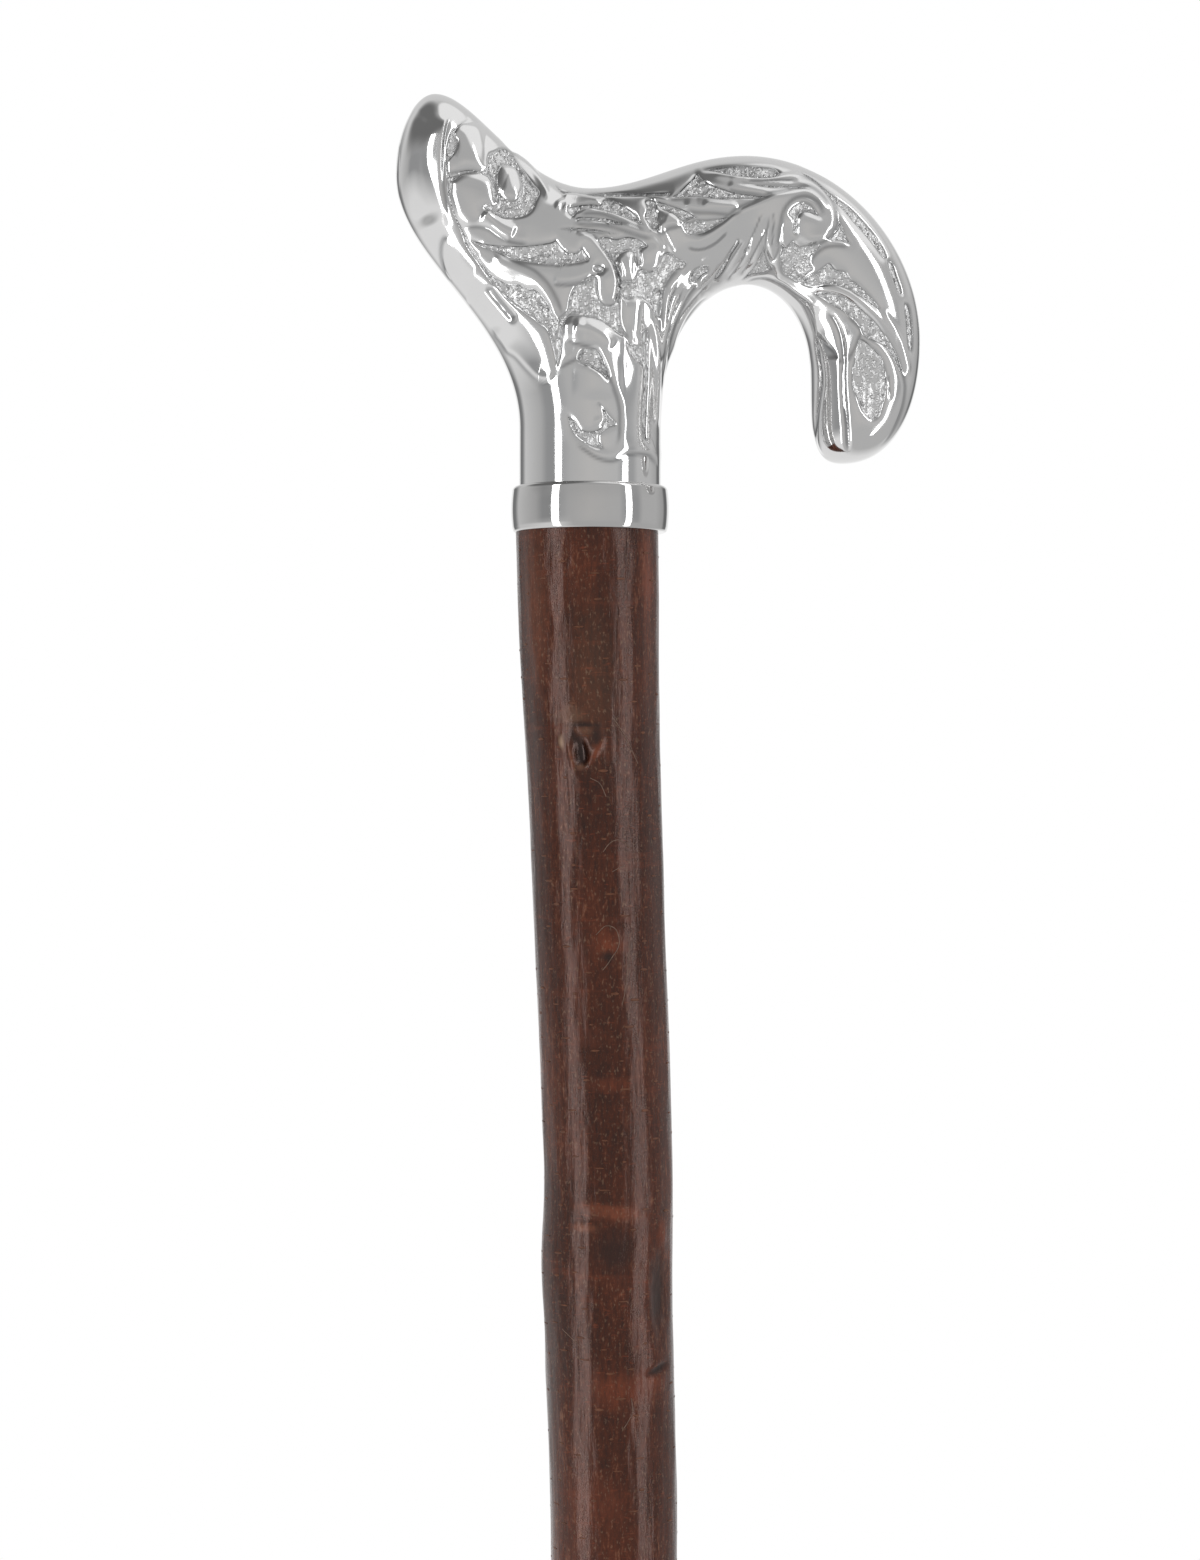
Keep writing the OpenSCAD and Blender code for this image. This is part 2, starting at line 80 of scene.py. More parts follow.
# Scrollwork of the handle, read off the photo. Sunk, matted pockets between the leaves:
GROUND = {
    "beak front": [
        (468, 119), (458, 125), (451, 132), (447, 142), (445, 155), (445, 170), (446, 187), (449, 201),
        (454, 217), (459, 231), (464, 246), (474, 261), (482, 273), (490, 284), (500, 294), (510, 304),
        (524, 314), (538, 324), (546, 331), (550, 342), (553, 354), (556, 366), (561, 352), (562, 338),
        (559, 322), (553, 314), (549, 305), (543, 296), (535, 289), (527, 288), (518, 284), (509, 284),
        (497, 279), (488, 271), (478, 257), (469, 243), (462, 228), (457, 217), (453, 205), (450, 194),
        (452, 186), (451, 178), (449, 170), (449, 161), (454, 154), (458, 146), (458, 139), (456, 131)],
    "knob channel": [
        (449, 173), (460, 170), (470, 169), (480, 170), (486, 168), (490, 166), (492, 172), (496, 180),
        (499, 190), (498, 199), (494, 204), (493, 196), (492, 186), (488, 178), (482, 174), (473, 173),
        (462, 175), (455, 181), (450, 181)],
    "beak inner": [
        (489, 153), (495, 150), (502, 147), (508, 148), (514, 153), (520, 163), (527, 172), (535, 183),
        (541, 191), (537, 201), (533, 210), (525, 216), (513, 219), (503, 218), (493, 213), (482, 208),
        (489, 205), (496, 203), (499, 194), (496, 185), (492, 177), (488, 169), (487, 161)],
    "beak lower": [
        (470, 241), (480, 242), (490, 244), (506, 245), (524, 245), (542, 243), (552, 241), (556, 239),
        (560, 244), (568, 251), (576, 252), (582, 247), (587, 253), (590, 259), (578, 263), (558, 265),
        (542, 264), (524, 262), (510, 259), (500, 254), (490, 251), (480, 247)],
    "leaf tips": [(592, 267), (598, 264), (605, 267), (602, 273), (595, 272)],
    "neck centre": [
        (582, 349), (590, 347), (598, 350), (606, 363), (611, 377), (608, 380), (600, 373), (590, 367),
        (578, 363), (577, 356)],
    "neck slit": [
        (643, 332), (649, 330), (650, 350), (650, 380), (649, 404), (648, 428), (648, 441), (644, 438),
        (643, 428), (643, 404), (644, 384), (643, 366), (636, 360), (628, 350), (627, 342), (634, 345),
        (641, 345)],
    "neck foot": [
        (567, 416), (574, 420), (580, 428), (590, 431), (600, 428), (604, 420), (602, 411), (598, 402),
        (605, 409), (612, 417), (619, 425), (610, 428), (602, 433), (600, 440), (604, 449), (594, 448),
        (584, 443), (577, 438), (571, 430)],
    "junction": [
        (568, 299), (573, 287), (582, 280), (592, 274), (597, 277), (597, 286), (599, 296), (604, 303),
        (612, 304), (617, 298), (619, 288), (622, 297), (621, 312), (623, 326), (629, 338), (617, 333),
        (606, 324), (594, 319), (580, 317), (568, 318), (560, 334), (554, 330), (558, 318), (566, 310)],
    "junction upper": [
        (617, 281), (626, 280), (634, 279), (638, 270), (642, 268), (650, 271), (658, 266), (663, 254),
        (670, 252), (678, 258), (687, 263), (684, 269), (676, 272), (670, 280), (666, 290), (664, 302),
        (662, 316), (657, 318), (653, 309), (646, 302), (636, 298), (627, 300), (621, 296)],
    "wedge": [
        (597, 238), (606, 236), (616, 238), (628, 236), (640, 239), (648, 246), (641, 250), (643, 262),
        (638, 268), (635, 260), (632, 252), (626, 252), (620, 255), (616, 262), (620, 270), (622, 279),
        (618, 281), (616, 272), (612, 262), (605, 252), (600, 245)],
    "third strand": [
        (560, 229), (575, 227), (592, 228), (606, 231), (618, 234), (606, 234), (592, 233), (575, 231)],
    "second strand": [
        (574, 217), (586, 216), (600, 217), (612, 219), (624, 224), (618, 225), (600, 222), (585, 221),
        (577, 220)],
    "first strand": [
        (567, 207), (576, 204), (590, 203), (600, 203), (603, 198), (612, 198), (620, 202), (630, 208),
        (636, 213), (640, 220), (645, 226), (636, 223), (625, 218), (612, 213), (600, 210), (590, 208),
        (580, 210), (573, 216), (568, 213)],
    "saddle band": [
        (556, 185), (565, 190), (580, 192), (600, 192), (620, 191), (645, 191), (668, 191), (671, 194),
        (660, 196), (640, 196), (620, 196), (602, 196), (590, 195), (575, 193), (563, 193)],
    "stem head": [
        (644, 200), (650, 198), (656, 201), (656, 209), (659, 214), (657, 222), (659, 230), (653, 231),
        (648, 224), (644, 216), (646, 208)],
    "belly wedge": [
        (654, 200), (664, 202), (674, 205), (685, 209), (692, 213), (698, 218), (690, 219), (683, 222),
        (676, 216), (668, 211), (660, 208)],
    "belly pocket": [
        (682, 223), (690, 221), (697, 219), (706, 219), (718, 218), (730, 217), (724, 222), (716, 227),
        (708, 232), (698, 235), (690, 235), (685, 232)],
    "upper fan": [
        (672, 197), (677, 192), (684, 185), (690, 179), (697, 172), (703, 178), (712, 183), (728, 189),
        (740, 192), (754, 194), (767, 196), (758, 199), (740, 199), (720, 199), (700, 197), (685, 197)],
    "crown": [
        (703, 170), (712, 167), (725, 165), (745, 164), (765, 165), (775, 167), (780, 171), (779, 175),
        (770, 178), (755, 178), (740, 176), (728, 174), (715, 171)],
    "crown line": [
        (742, 182), (756, 184), (772, 184), (790, 184), (800, 185), (808, 189), (800, 189), (785, 188),
        (770, 188), (756, 186)],
    "volute": [
        (788, 215), (790, 209), (795, 204), (802, 201), (810, 203), (815, 208), (820, 218), (816, 216),
        (812, 213), (807, 212), (802, 213), (799, 217), (798, 226), (796, 236), (793, 232), (794, 224),
        (792, 218)],
    "below volute": [
        (781, 243), (786, 247), (793, 240), (798, 246), (810, 244), (822, 243), (820, 248), (812, 256),
        (810, 263), (813, 270), (804, 278), (799, 284), (790, 280), (781, 274), (779, 264), (780, 254)],
    "nose upper": [
        (800, 284), (806, 277), (816, 272), (829, 263), (836, 269), (846, 271), (850, 278), (858, 283),
        (866, 290), (874, 299), (881, 308), (876, 308), (866, 301), (856, 295), (848, 290), (838, 287),
        (826, 286), (812, 288)],
    "leaf line": [
        (835, 203), (838, 211), (840, 219), (844, 227), (847, 236), (851, 244), (842, 242), (829, 241),
        (833, 234), (838, 228), (838, 221), (836, 212)],
    "outer band": [
        (802, 172), (812, 176), (822, 184), (831, 191), (839, 197), (848, 203), (858, 212), (868, 223),
        (878, 235), (886, 248), (889, 258), (883, 257), (874, 245), (864, 233), (853, 221), (843, 209),
        (832, 199), (825, 193), (817, 185), (809, 179)],
    "outer band, low": [(888, 262), (894, 262), (899, 276), (904, 292), (899, 293), (893, 278)],
    "edge row": [(905, 304), (911, 306), (914, 328), (914, 350), (909, 348), (907, 328)],
    "nose band": [
        (813, 294), (825, 292), (838, 294), (848, 298), (858, 305), (866, 312), (876, 321), (886, 334),
        (893, 345), (899, 356), (903, 368), (905, 378), (899, 370), (893, 358), (886, 349), (880, 344),
        (872, 341), (863, 336), (860, 329), (852, 320), (843, 313), (833, 307), (822, 300)],
    "nose oval": [
        (859, 339), (855, 350), (853, 362), (851, 372), (851, 385), (854, 394), (858, 404), (861, 411),
        (866, 417), (873, 421), (880, 418), (884, 408), (887, 395), (888, 380), (886, 366), (880, 354),
        (872, 346), (865, 340)],
    "arch pocket": [
        (690, 283), (691, 275), (695, 269), (702, 266), (709, 267), (709, 273), (703, 278), (697, 283)],
    "arch flute": [
        (738, 239), (733, 247), (728, 255), (724, 263), (718, 272), (714, 280), (719, 281), (725, 274),
        (729, 265), (734, 254), (740, 244)],
    "arch foot": [
        (764, 246), (766, 255), (768, 263), (772, 269), (765, 275), (752, 278), (742, 281), (750, 272),
        (757, 262), (761, 254)],
    "neck side": [
        (678, 286), (675, 293), (672, 301), (670, 310), (668, 322), (666, 322), (667, 311), (669, 301),
        (673, 292)],
}
# Leaves that stand up again inside a pocket
ISLANDS = {
    "beak leaf": [
        (500, 172), (503, 166), (509, 165), (515, 169), (520, 178), (521, 187), (518, 196), (512, 200),
        (506, 198), (501, 193), (499, 183)],
}
# Leaf edges: rise in millimetres, or its start and end, half width of the flank, and line.
# The leaf lies on the right hand of the line as it is drawn.
LEAF_EDGES = {
    "front ridge": ((1.45, 0.0), 0.25, [
        (449, 116), (445, 128), (443, 142), (442, 160), (442, 176), (443, 192), (446, 208), (451, 226)]),
    "front lobe, low": (0.5, 0.45, [
        (557, 371), (549, 379), (538, 378), (527, 368), (516, 356), (507, 350), (500, 340), (490, 328)]),
    "front lobe, high": (0.4, 0.4, [(453, 282), (446, 270), (443, 255), (444, 242), (449, 236)]),
    "beak root": (0.4, 0.4, [(530, 243), (510, 240), (500, 235), (490, 228), (478, 225), (462, 227)]),
    "beak leaf": (0.85, 0.62, [
        (492, 253), (510, 263), (526, 270), (536, 276), (546, 287), (554, 301), (560, 318)]),
    "second beak leaf": (0.5, 0.45, [(594, 273), (586, 279), (575, 282), (562, 283), (552, 282)]),
    "drop leaf": (0.7, 0.55, [
        (575, 232), (590, 237), (600, 247), (608, 258), (615, 270), (618, 283), (616, 295), (609, 303)]),
    "first strand": (0.45, 0.43, [
        (648, 230), (636, 224), (622, 219), (606, 213), (590, 211), (578, 213)]),
    "second strand": (0.45, 0.43, [
        (656, 238), (640, 234), (622, 228), (604, 223), (586, 223), (572, 220)]),
    "upper leaf": (0.6, 0.5, [(742, 208), (733, 212), (715, 211), (697, 210), (682, 207)]),
    "upper strand": (0.4, 0.4, [(770, 195), (755, 192), (740, 190), (727, 187)]),
    "belly": (0.75, 0.57, [
        (684, 234), (697, 238), (708, 234), (720, 226), (731, 217), (741, 210), (754, 204), (768, 197),
        (784, 193), (800, 189), (810, 191), (820, 199), (826, 208), (828, 218)]),
    "volute": (0.7, 0.55, [
        (795, 180), (806, 182), (816, 187), (825, 195), (832, 204), (835, 213), (835, 222), (832, 230),
        (826, 237), (817, 241), (799, 244)]),
    "volute stem": (0.4, 0.4, [
        (780, 252), (781, 236), (783, 222), (785, 213), (790, 205), (797, 200), (806, 199), (814, 203),
        (819, 209), (822, 218)]),
    "eye lobe": (0.5, 0.45, [(684, 223), (676, 225), (668, 227), (661, 231), (658, 222)]),
    "nose leaf": (0.4, 0.4, [(850, 245), (835, 244), (822, 247), (811, 257), (810, 264), (814, 269)]),
    "nose lobe": (0.2, 0.3, [
        (842, 316), (850, 321), (859, 330), (856, 341), (851, 351), (843, 361), (835, 353), (825, 342),
        (816, 330)]),
    "nose ring": (0.25, 0.3, [
        (880, 343), (887, 349), (894, 357), (900, 370), (903, 382), (903, 395), (900, 410), (894, 425),
        (887, 437), (878, 447)]),
    "neck leaf, side": (0.35, 0.45, [
        (616, 449), (621, 440), (622, 428), (622, 412), (620, 400), (614, 384), (608, 368), (602, 354),
        (597, 347), (582, 343), (570, 339), (561, 337)]),
    "neck leaf, foot": (0.5, 0.45, [
        (660, 466), (654, 458), (648, 453), (636, 452), (624, 453), (612, 459), (598, 456), (586, 448),
        (576, 441)]),
    "pale leaf": (0.5, 0.45, [(582, 349), (577, 356), (568, 361), (558, 366)]),
    "neck side leaf": (0.5, 0.45, [
        (662, 335), (664, 315), (665, 300), (668, 288), (673, 279), (682, 270)]),
    "dark leaf": (0.5, 0.45, [
        (700, 281), (690, 290), (684, 300), (679, 312), (673, 326), (669, 343), (666, 365)]),
}
# Cut veins: depth, half width of the flat bottom in millimetres, and line
VEINS = {
    "lobe slit": (0.36, 0.45, [(486, 286), (494, 296), (504, 308), (516, 322)]),
    "belly arc": (0.15, 0.2, [(686, 247), (695, 250), (705, 249), (715, 244), (723, 237), (728, 231)]),
    "arch 1": (0.24, 0.05, [(745, 240), (737, 252), (731, 262), (725, 273), (716, 284)]),
    "arch 2": (0.24, 0.05, [(752, 238), (748, 248), (744, 258), (737, 269), (727, 282)]),
    "arch 3": (0.24, 0.05, [(762, 213), (755, 230), (748, 246), (743, 258)]),
    "arch 4": (0.24, 0.05, [(768, 226), (761, 240), (755, 252), (749, 264), (740, 277)]),
    "arch 5": (0.24, 0.05, [
        (769, 213), (767, 232), (766, 250), (770, 261), (775, 259), (779, 245), (781, 225), (781, 208)]),
    "arch 6": (0.18, 0.05, [(774, 212), (773, 230), (772, 248)]),
    "arch edge": (0.24, 0.1, [(745, 283), (758, 280), (770, 280), (785, 287), (800, 297), (814, 305)]),
    "nose vein": (0.24, 0.25, [(827, 312), (833, 321), (838, 332), (841, 345), (843, 358), (844, 370)]),
    "cheek, left": (0.18, 0.1, [
        (815, 333), (818, 350), (820, 365), (821, 380), (819, 395), (816, 412), (814, 430), (814, 445),
        (819, 455), (830, 460)]),
    "cheek, right": (0.24, 0.3, [(843, 360), (843, 385), (844, 405), (846, 425), (847, 440), (848, 454)]),
    "nose slit": (0.24, 0.05, [(889, 375), (890, 387), (891, 399)]),
    "neck 1": (0.24, 0.05, [
        (713, 280), (700, 294), (688, 308), (680, 320), (674, 336), (669, 360), (666, 390)]),
    "neck 2": (0.24, 0.05, [(684, 286), (678, 302), (672, 318), (667, 338), (664, 365), (662, 400)]),
    "neck 3": (0.24, 0.05, [(708, 297), (697, 307), (688, 319), (681, 334), (677, 350)]),
    "crown": (0.24, 0.1, [(746, 181), (760, 181), (780, 180), (796, 180)]),
}
# Raised ribs (or, below zero, hollows): height and half width in millimetres, and their line
RIBS = {
    "front cheek": (-0.6, 2.0, [
        (426, 110), (420, 128), (416, 150), (415, 170), (417, 190), (422, 210), (430, 228)]),
    "knob tail": (1.0, 1.5, [(484, 212), (493, 220), (503, 228), (516, 235)]),
    "beak rib": (0.4, 0.5, [(513, 149), (526, 163), (538, 178), (546, 192), (549, 200)]),
    "saddle rib": (0.4, 0.45, [(562, 195), (575, 196), (590, 199), (601, 202)]),
    "saddle curl": (0.35, 0.45, [(557, 210), (559, 204), (565, 202), (567, 206), (562, 209)]),
    "second rib": (0.4, 0.45, [(606, 221), (620, 226), (632, 230), (641, 234)]),
    "wedge rib": (0.3, 0.5, [(652, 198), (660, 199), (668, 203)]),
    "drop rib": (0.4, 0.4, [(619, 260), (622, 270), (624, 277)]),
    "wedge tip": (0.4, 0.4, [(641, 253), (643, 261), (644, 265)]),
    "stem, left": (0.5, 0.5, [(650, 229), (656, 235), (661, 243), (664, 250)]),
    "stem, right": (0.5, 0.45, [(659, 225), (665, 236), (670, 246), (675, 254)]),
    "belly rib": (0.4, 0.5, [(703, 203), (720, 205), (739, 207)]),
    "crown rib": (0.4, 0.55, [
        (703, 173), (720, 176), (740, 179), (760, 180), (780, 178), (795, 177), (806, 179), (816, 184),
        (826, 193), (833, 202)]),
    "nose rib": (0.4, 0.55, [
        (812, 291), (826, 289), (840, 291), (853, 297), (863, 304), (874, 314), (885, 326), (893, 336),
        (899, 347)]),
    "leaf end": (0.4, 0.45, [
        (883, 309), (887, 318), (894, 328), (900, 340), (905, 355), (908, 368), (906, 379)]),
    "neck leaf, roll": (0.55, 1.2, [(573, 327), (588, 329), (601, 336), (612, 348)]),
    "neck horn": (0.45, 0.45, [(598, 402), (602, 412), (607, 419), (620, 426)]),
    "neck horn, low": (0.4, 0.45, [(594, 424), (601, 420), (606, 418)]),
    "neck rim": (0.4, 0.45, [(651, 320), (655, 334), (657, 350), (658, 372), (657, 400), (656, 430)]),
    "arch rib": (0.35, 0.45, [(774, 277), (786, 283), (800, 294), (816, 305)]),
    "flute 3": (0.35, 0.45, [(764, 213), (758, 225), (753, 238), (748, 251)]),
}
# Lobes and, below zero, hollows: centre, half width and half height in pixels, height in millimetres
LOBES = {
    "knob": (471, 200, 26, 27, 0.9),
    "upper lobe": (470, 147, 15, 24, 0.7),
    "beak leaf": (510, 183, 11, 18, 0.6),
    "drop 1": (607, 286, 10, 18, 0.5),
    "drop 2": (632, 318, 12, 19, 0.6),
    "drop 3": (626, 266, 8, 13, 0.4),
    "drop 4": (651, 257, 10, 13, 0.45),
    "leaf curl": (572, 330, 13, 10, 0.6),
    "volute eye": (813, 229, 17, 15, 0.5),
    "eye lobe": (669, 221, 12, 9, 0.5),
    "nose lobe": (838, 334, 22, 27, -0.55),
    "nose cheek": (823, 412, 21, 52, -0.35),
    "neck swell": (598, 360, 26, 40, 0.7),
}

# The studio's walls: bearing in degrees (0 at the camera, 90 to its right), level and warmth
STUDIO_WALLS = (
    (-180, 1.0, 1.0), (-158, 1.0, 1.0), (-152, 0.2, 0.99), (-140, 0.25, 0.99), (-128, 0.68, 1.0),
    (-112, 0.62, 1.0), (-98, 0.56, 1.0), (-86, 0.5, 1.0), (-74, 0.36, 0.99), (-60, 0.34, 0.99),
    (-44, 0.45, 0.99), (-32, 0.53, 1.0), (0, 0.59, 1.015), (44, 0.57, 1.0), (52, 0.45, 0.99),
    (66, 0.4, 0.99), (74, 0.42, 0.99), (84, 0.58, 1.0), (112, 0.58, 1.0), (134, 0.45, 1.0),
    (140, 0.18, 0.99), (150, 0.18, 0.99), (156, 1.0, 1.0), (180, 1.0, 1.0))
# How the shaft wanders: share of its length from the collar, x and y in millimetres
CROOK = np.array([
    [0, -0.6, 0], [0.03, -0.1, 0], [0.09, 1.7, 0.2], [0.15, 3.4, 0.5], [0.18, 3.5, 0.7], [0.24, 4.5, 1],
    [0.4, 6.4, 1.6], [0.6, 5, 2.6], [0.8, 2, 1.4], [0.95, 0, 0], [1, 0, 0]])
# Its knots: share of the length, direction in degrees, height, length of the swelling in millimetres
KNOTS = [
    (0.052, -103, 0.6, 7), (0.101, -80, 0.42, 6), (0.175, 178, 0.6, 9), (0.2, -38, 0.48, 8),
    (0.285, 80, 0.78, 10), (0.36, -140, 0.66, 9), (0.44, -20, 0.84, 10), (0.52, 120, 0.72, 9),
    (0.6, -95, 0.6, 8), (0.68, 30, 0.78, 9), (0.77, -160, 0.66, 8), (0.86, -55, 0.6, 8)]
# Marks on the bark: pixel, half width, half height, lean in degrees, dark, red, pale, and height.
# Half sizes are in pixels and the height is in millimetres.
BARK_MARKS = {
    "knot brow": (583, 725, 15, 3, 0, 0.9, 0.0, 0.0, 0.3),
    "knot brow, left": (572, 735, 5, 7, 10, 0.75, 0.1, 0.0, 0.1),
    "knot brow, right": (596, 736, 5, 9, -12, 0.75, 0.1, 0.0, 0.1),
    "knot bridge": (584, 731, 8, 4, 0, -0.7, 0.15, 0.12, 0.25),
    # The knot's mouth is near black: partly the knot's own dark wood, partly painted shade in its hollow
    "knot mouth": (581, 753, 7, 14, 2, 1.0, 0.0, 0.0, -1.5),
    "knot lip, left": (571, 757, 2, 14, 10, -0.3, 0.8, 0.1, 0.35),
    "knot lip, right": (595, 754, 3, 14, -32, -0.2, 0.8, 0.0, 0.35),
    "knot chin": (580, 767, 5, 3, 0, -0.8, 0.3, 0.2, 0.15),
    "blister": (561, 742, 3, 6, 0, 0.0, 0.0, 0.9, 0.1),
    "knot dapple": (570, 716, 14, 10, -5, 0.0, 0.1, 0.16, 0.0),
    "worn patch": (592, 680, 24, 70, 0, 0.0, 0.06, 0.07, 0.0),
    "side patch": (648, 578, 9, 40, 2, 0.0, 0.75, 0.0, 0.0),
    "left flush": (535, 605, 16, 85, 0, 0.0, 0.5, 0.06, 0.0),
    "second knot": (608, 957, 7, 5, 0, 0.85, 0.0, 0.0, -0.35),
    "second knot flush": (608, 944, 16, 12, 0, 0.0, 0.6, 0.0, 0.15),
    "red drop 1": (585, 1035, 16, 10, 0, 0.35, 0.5, 0.0, 0.0),
    "red drop 2": (610, 1085, 20, 8, 0, 0.0, 0.5, 0.0, 0.0),
    "node ring": (612, 1213, 34, 7, -8, 0.0, 0.8, 0.04, 0.25),
    "node ring, left": (585, 1228, 14, 4, -4, 0.0, 0.7, 0.1, 0.15),
    "node shade": (615, 1252, 26, 22, 0, 0.75, 0.1, 0.0, -0.15),
    # The dent's dark is painted shade in its hollow
    "dent": (660, 1292, 14, 42, 0, 0.85, 0.0, 0.0, -0.7),
    "dent flush": (662, 1235, 8, 14, 0, 0.0, 0.7, 0.0, 0.2),
    "scar": (660, 1369, 15, 4, 16, 1.0, 0.0, 0.0, -0.6),
    "scar flush": (645, 1384, 30, 14, 6, 0.1, 0.65, 0.0, 0.15),
    "low flush": (612, 1392, 22, 18, 0, 0.0, 0.6, 0.0, 0.0),
    "foot flush": (600, 1500, 26, 22, 0, 0.2, 0.5, 0.0, 0.0),
}
# Fine pale scratches on the bark in the photo
SCRATCHES = {
    "by the knot": [(613, 718), (620, 728), (629, 744), (638, 764)],
    "under the knot": [(590, 778), (600, 784), (606, 797)],
    "hook": [(603, 852), (610, 843), (618, 840), (625, 843), (630, 848)],
    "short": [(612, 872), (619, 868), (625, 866)],
    "long": [(630, 940), (628, 965), (625, 990), (622, 1005)],
    "ring": [(596, 935), (606, 926), (616, 930), (619, 944), (612, 958), (603, 970)],
    "left": [(562, 1329), (571, 1338), (580, 1347)],
    "low arc": [(631, 1398), (633, 1410), (629, 1420), (624, 1428)],
}


def in_mm(metres):
    return metres / MM


def smooth_step(a, b, x):
    t = np.clip((x - a) / (b - a), 0, 1)
    return t * t * (3 - 2 * t)


def ease(t):
    """Goes smoothly from 0 to 1."""
    return (1 - np.cos(np.pi * np.clip(t, 0, 1))) / 2


# Plane curves


def bezier(c, t):
    """Points of the cubic curve with four control points."""
    t = np.asarray(t, float)[..., None]
    s = 1 - t
    return c[0] * s**3 + 3 * c[1] * s * s * t + 3 * c[2] * s * t * t + c[3] * t**3


def bezier_slope(c, t):
    t = np.asarray(t, float)[..., None]
    s = 1 - t
    return 3 * (c[1] - c[0]) * s * s + 6 * (c[2] - c[1]) * s * t + 3 * (c[3] - c[2]) * t * t


def smooth_line(points, closed=False, steps=5):
    """A smooth line through drawn points, as close straight pieces."""
    p = np.array(points, float)
    n = len(p)
    if closed:
        p = np.concatenate([p[-1:], p, p[:2]])
    else:
        p = np.concatenate([2 * p[:1] - p[1:2], p, 2 * p[-1:] - p[-2:-1]])
        n -= 1
    out = []
    for i in range(n):
        a, b, c, d = p[i:i + 4]
        for t in np.arange(steps) / steps:
            out.append(0.5 * (2 * b + (c - a) * t + (2 * a - 5 * b + 4 * c - d) * t * t
                              + (3 * b - 3 * c + d - a) * t**3))
    out.append(p[n + 1])
    return np.array(out)


def near_line(line, at, margin):
    """Points within a margin of the line's box: their indices, their distance to the line, the side that
    they lie on (right hand positive, with y down) and the share of the line that they are at."""
    near = np.flatnonzero(((at > line.min(0) - margin) & (at < line.max(0) + margin)).all(1))
    along = np.diff(line, axis=0)
    length = np.linalg.norm(along, axis=1)
    rel = at[near][:, None, :] - line[None, :-1]
    part = np.clip((rel * along).sum(2) / length**2, 0, 1)
    gap = ((rel - part[..., None] * along)**2).sum(2)
    k = gap.argmin(1)
    i = np.arange(len(near))
    side = along[k, 0] * rel[i, k, 1] - along[k, 1] * rel[i, k, 0]
    run = np.concatenate([[0], np.cumsum(length)])
    return near, np.sqrt(gap[i, k]), np.sign(side), (run[k] + part[i, k] * length[k]) / run[-1]


def inside(line, at):
    """Which points lie inside a closed line."""
    a, b = line[:-1], line[1:]
    x, y = at[:, None, 0], at[:, None, 1]
    crosses = (a[:, 1] > y) != (b[:, 1] > y)
    rise = np.where(b[:, 1] == a[:, 1], 1, b[:, 1] - a[:, 1])
    return (crosses & (x < a[:, 0] + (y - a[:, 1]) / rise * (b[:, 0] - a[:, 0]))).sum(1) % 2 == 1


def depth_inside(outline, at, margin):
    """Points near a drawn outline, with how far inside it they lie in millimetres, below zero outside."""
    line = smooth_line(outline, closed=True)
    near, gap, _, _ = near_line(line, at, margin)
    return near, np.where(inside(line, at[near]), gap, -gap) * PHOTO_MM


def photo_pixels(points):
    """Where the camera sees points of the handle's front half. Points in millimetres from the neck's foot."""
    reach = -CAMERA_MM[1]
    nearer = reach / (reach - np.abs(points[..., 1]))
    x = CAMERA_MM[0] + (points[..., 0] - CAMERA_MM[0]) * nearer
    z = CAMERA_MM[2] + (points[..., 2] - CAMERA_MM[2]) * nearer
    return np.stack([PHOTO_ORIGIN[0] + x / PHOTO_MM, PHOTO_ORIGIN[1] - z / PHOTO_MM], -1)


def cell_noise(points, seed):
    """Smooth noise from -1 to 1 on a lattice of unit cells."""
    base = np.floor(points).astype(np.int64)
    f = points - base
    f = f * f * (3 - 2 * f)
    total = np.zeros(len(points))
    for corner in np.ndindex(2, 2, 2):
        x, y, z = ((base + corner) * CELL_PRIMES).T
        scattered = (x ^ y ^ z ^ seed * SEED_PRIME) & WORD
        for shift, factor in SCATTER:
            scattered = (scattered ^ (scattered >> shift)) * factor & WORD
        value = (scattered ^ (scattered >> 16)) / (WORD >> 1) - 1
        total += value * np.prod(np.where(corner, f, 1 - f), axis=1)
    return total


# Meshes


def signed_volume(points, faces):
    """Six times the volume inside the faces, below zero where they point inwards."""
    a, b, c = points[faces[:, 0]], points[faces[:, 1]], points[faces[:, 2]]
    total = np.einsum("ij,ij->i", a, np.cross(b, c)).sum()
    if faces.shape[1] == 4:
        d = points[faces[:, 3]]
        total += np.einsum("ij,ij->i", a, np.cross(c, d)).sum()
    return total


